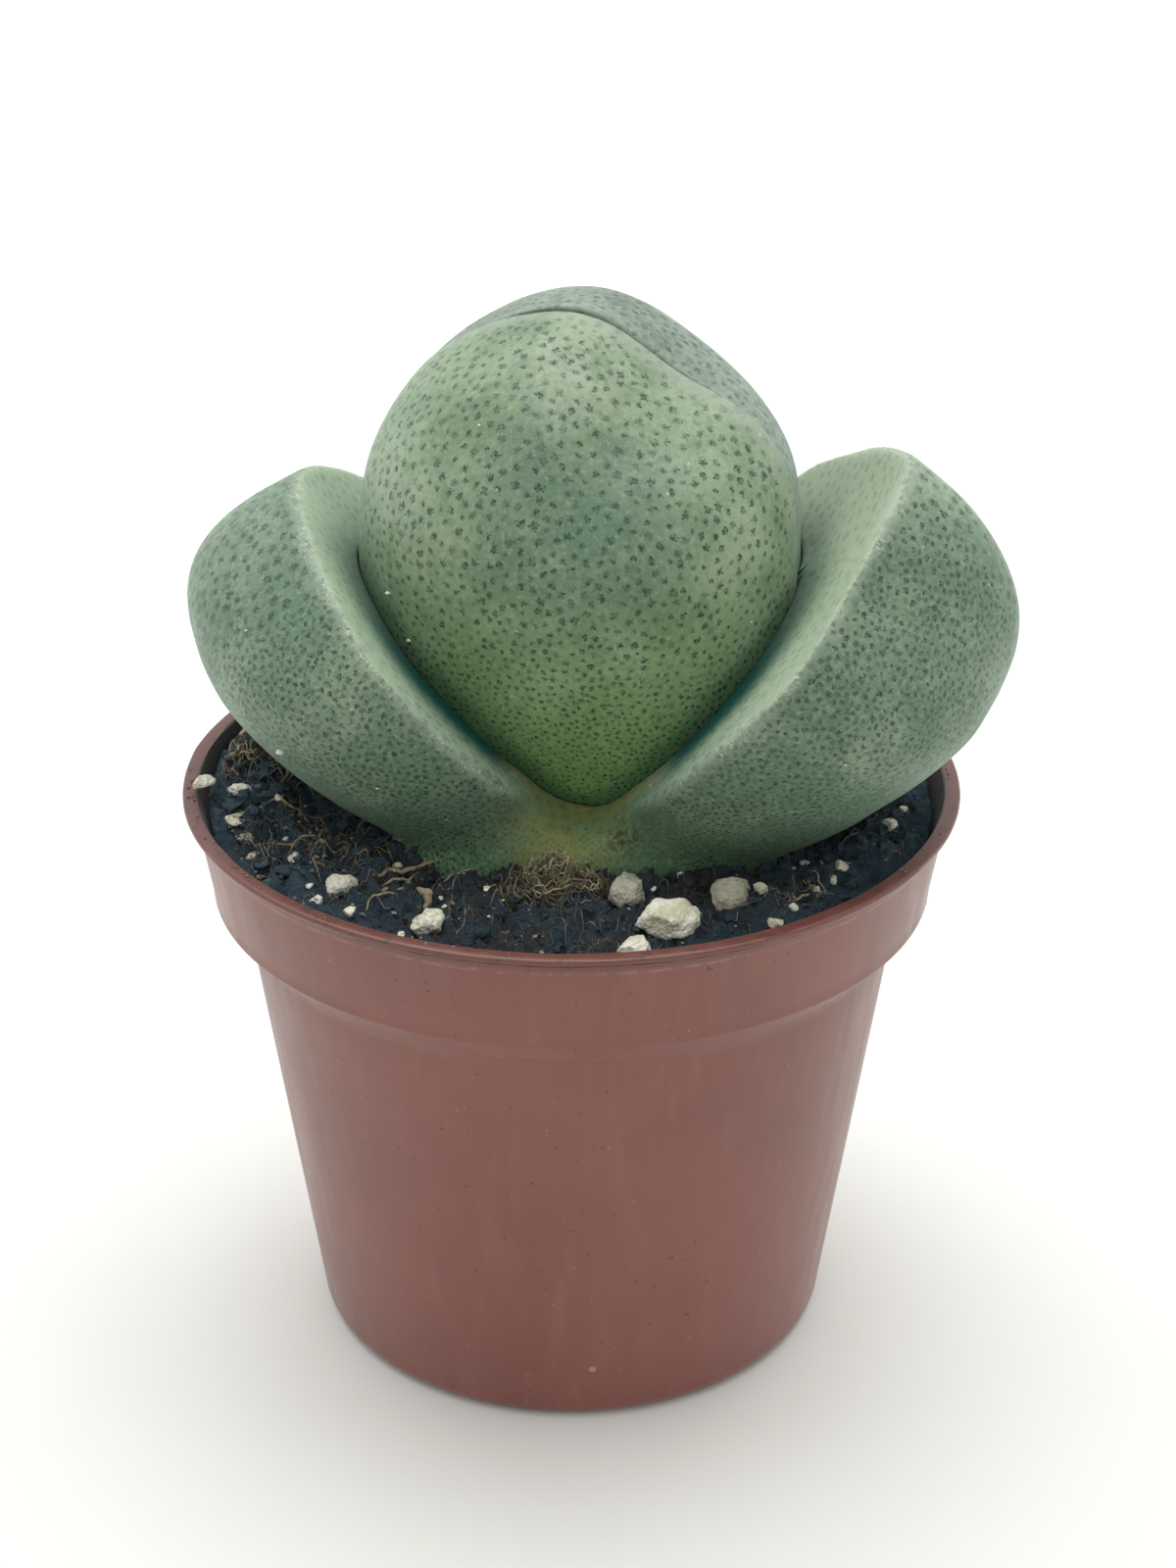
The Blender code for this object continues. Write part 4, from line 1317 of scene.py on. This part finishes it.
def make_stage():
    bm = bmesh.new()
    bmesh.ops.create_grid(bm, x_segments=8, y_segments=8, size=3.0)
    table = placed("table", baked(bm, "table"))
    table.data.materials.append(table_top())
    world = bpy.data.worlds.new("studio")
    world.use_nodes = True
    surroundings = world.node_tree.nodes["Background"].inputs
    surroundings["Color"].default_value = rgb(1.0, 1.0, 1.0)
    surroundings["Strength"].default_value = WORLD_STRENGTH
    bpy.context.scene.world = world
    bpy.context.scene.view_settings.view_transform = "Standard"
    make_light()


def make_leaves():
    front = make_inner_leaf(1, front_skin(), "leaf_inner_front", "inner_leaf_front", 11)
    back = make_inner_leaf(-1, back_skin(), "leaf_inner_back", "inner_leaf_back", 12)
    pair = make_outer_pair(outer_skin(), [front, back])
    for leaf in (front, back):
        gap = nearest(vertex_array(pair.data) / MM, vertex_array(leaf.data), 5.0)
        add_float(leaf.data, "near_inner", gap)
    return [front, back, pair]


def litter_places():
    """Places for bark all over the soil, and for more of it at the left."""
    rng = np.random.default_rng(38)
    places = [(*free_spot(rng, 6.0, SOIL_EDGE_R), rng.uniform(0.12, 0.6) ** 1.3) for _ in range(620)]
    places += [(rng.uniform(-24.0, -9.0), rng.uniform(-16.0, 3.0), rng.uniform(0.12, 0.75) ** 1.6)
               for _ in range(260)]
    return places


def tuft_dirt_and_clod_places():
    """Places for crumbs in the tuft, for dirt on the pot's lip and for clods at the left."""
    rng = np.random.default_rng(35)
    tuft = [(-1.1 + 1.7 * rng.normal(), -14.9 + 0.8 * rng.normal(), rng.uniform(0.12, 0.36))
            for _ in range(60)]
    dirt = []
    for _ in range(70):
        a = radians(rng.choice(DIRTY_SPOTS) + 14.0 * rng.normal())
        r = rng.uniform(26.6, 27.25)
        dirt.append((r * cos(a), r * sin(a), rng.uniform(0.06, 0.30), POT_HEIGHT - 0.03))
    clods = [(rng.uniform(-24.0, -9.0), rng.uniform(-14.0, 8.0), rng.uniform(0.8, 2.0)) for _ in range(70)]
    return tuft, dirt, clods


def make_soil_and_litter(leaves):
    """The soil bed and everything that lies on it, on the lip and on the leaves."""
    soil = peat()
    white = grit("perlite_skin", rgb(0.95, 0.92, 0.79), rgb(0.56, 0.55, 0.32))
    tan = straw("tan_crumb", rgb(0.27, 0.235, 0.175), rgb(0.085, 0.078, 0.072))
    pale = straw("dry_fibre", rgb(0.42, 0.34, 0.21), rgb(0.16, 0.115, 0.065))
    matted = straw("matted_fibre", rgb(0.52, 0.45, 0.26), rgb(0.048, 0.046, 0.032))
    dark = straw("dark_fibre", rgb(0.082, 0.092, 0.100), rgb(0.032, 0.038, 0.048))
    make_soil(soil)
    make_perlite(white)
    tuft, dirt, clods = tuft_dirt_and_clod_places()
    dust = on_skin(leaves, LEAF_DUST)
    # name, material, slot, angle of sharp edges, and the seed, lift, flatness, detail, roughness, cuts,
    # places or count and sizes that chips takes
    for name, mat, slot, sharp, *form in (
        ("soil_crumbs", soil, "soil", 32, 31, 0.08, 0.8, 2, 0.16, 5, (), (1400, 0.2, 1.3)),
        ("soil_grains", soil, "soil", 30, 37, 0.2, 0.8, 1, 0.2, 3, (), (2600, 0.12, 0.45)),
        ("bark_crumbs", tan, "soil", 40, 34, 0.2, 0.7, 1, 0.3, 2, litter_places()),
        ("tuft_crumbs", tan, "soil", None, 36, 0.5, 0.8, 1, 0.35, 0, tuft),
        ("rim_dirt", tan, "soil", None, 39, 0.2, 0.6, 1, 0.3, 2, dirt),
        ("leaf_dust", white, "perlite_1", None, 40, 0.0, 0.8, 2, 0.15, 3, dust),
        ("soil_clods", soil, "soil", None, 44, 0.1, 0.6, 2, 0.14, 5, clods),
        ("perlite_chips", white, "perlite_1", None, 32, 0.2, 0.8, 2, 0.2, 4, (), (130, 0.2, 0.9)),
        ("perlite_grains", white, "perlite_1", None, 33, 0.22, 0.95, 3, 0.09, 7, GRAINS),
    ):
        add_piece(name, chips(name, *form), mat, sharp=sharp)
    add_piece("soil_fibres", fibres("soil_fibres", PALE_FIBRES, 41, STRANDS), pale)
    add_piece("tuft_fibres", nest("tuft_fibres", 330, -1.0, -15.3, 3.7, 1.8, 1.7, 0.042, 43), matted)
    add_piece("peat_fibres", fibres("peat_fibres", DARK_FIBRES, 42, (), 4), dark)


def main():
    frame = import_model()
    make_camera()
    make_stage()
    leaves = make_leaves()
    make_pot(pot_plastic())
    make_soil_and_litter(leaves)
    root = frame["nodes"]["taproot"].data
    root.materials.clear()
    root.materials.append(root_skin())


main()
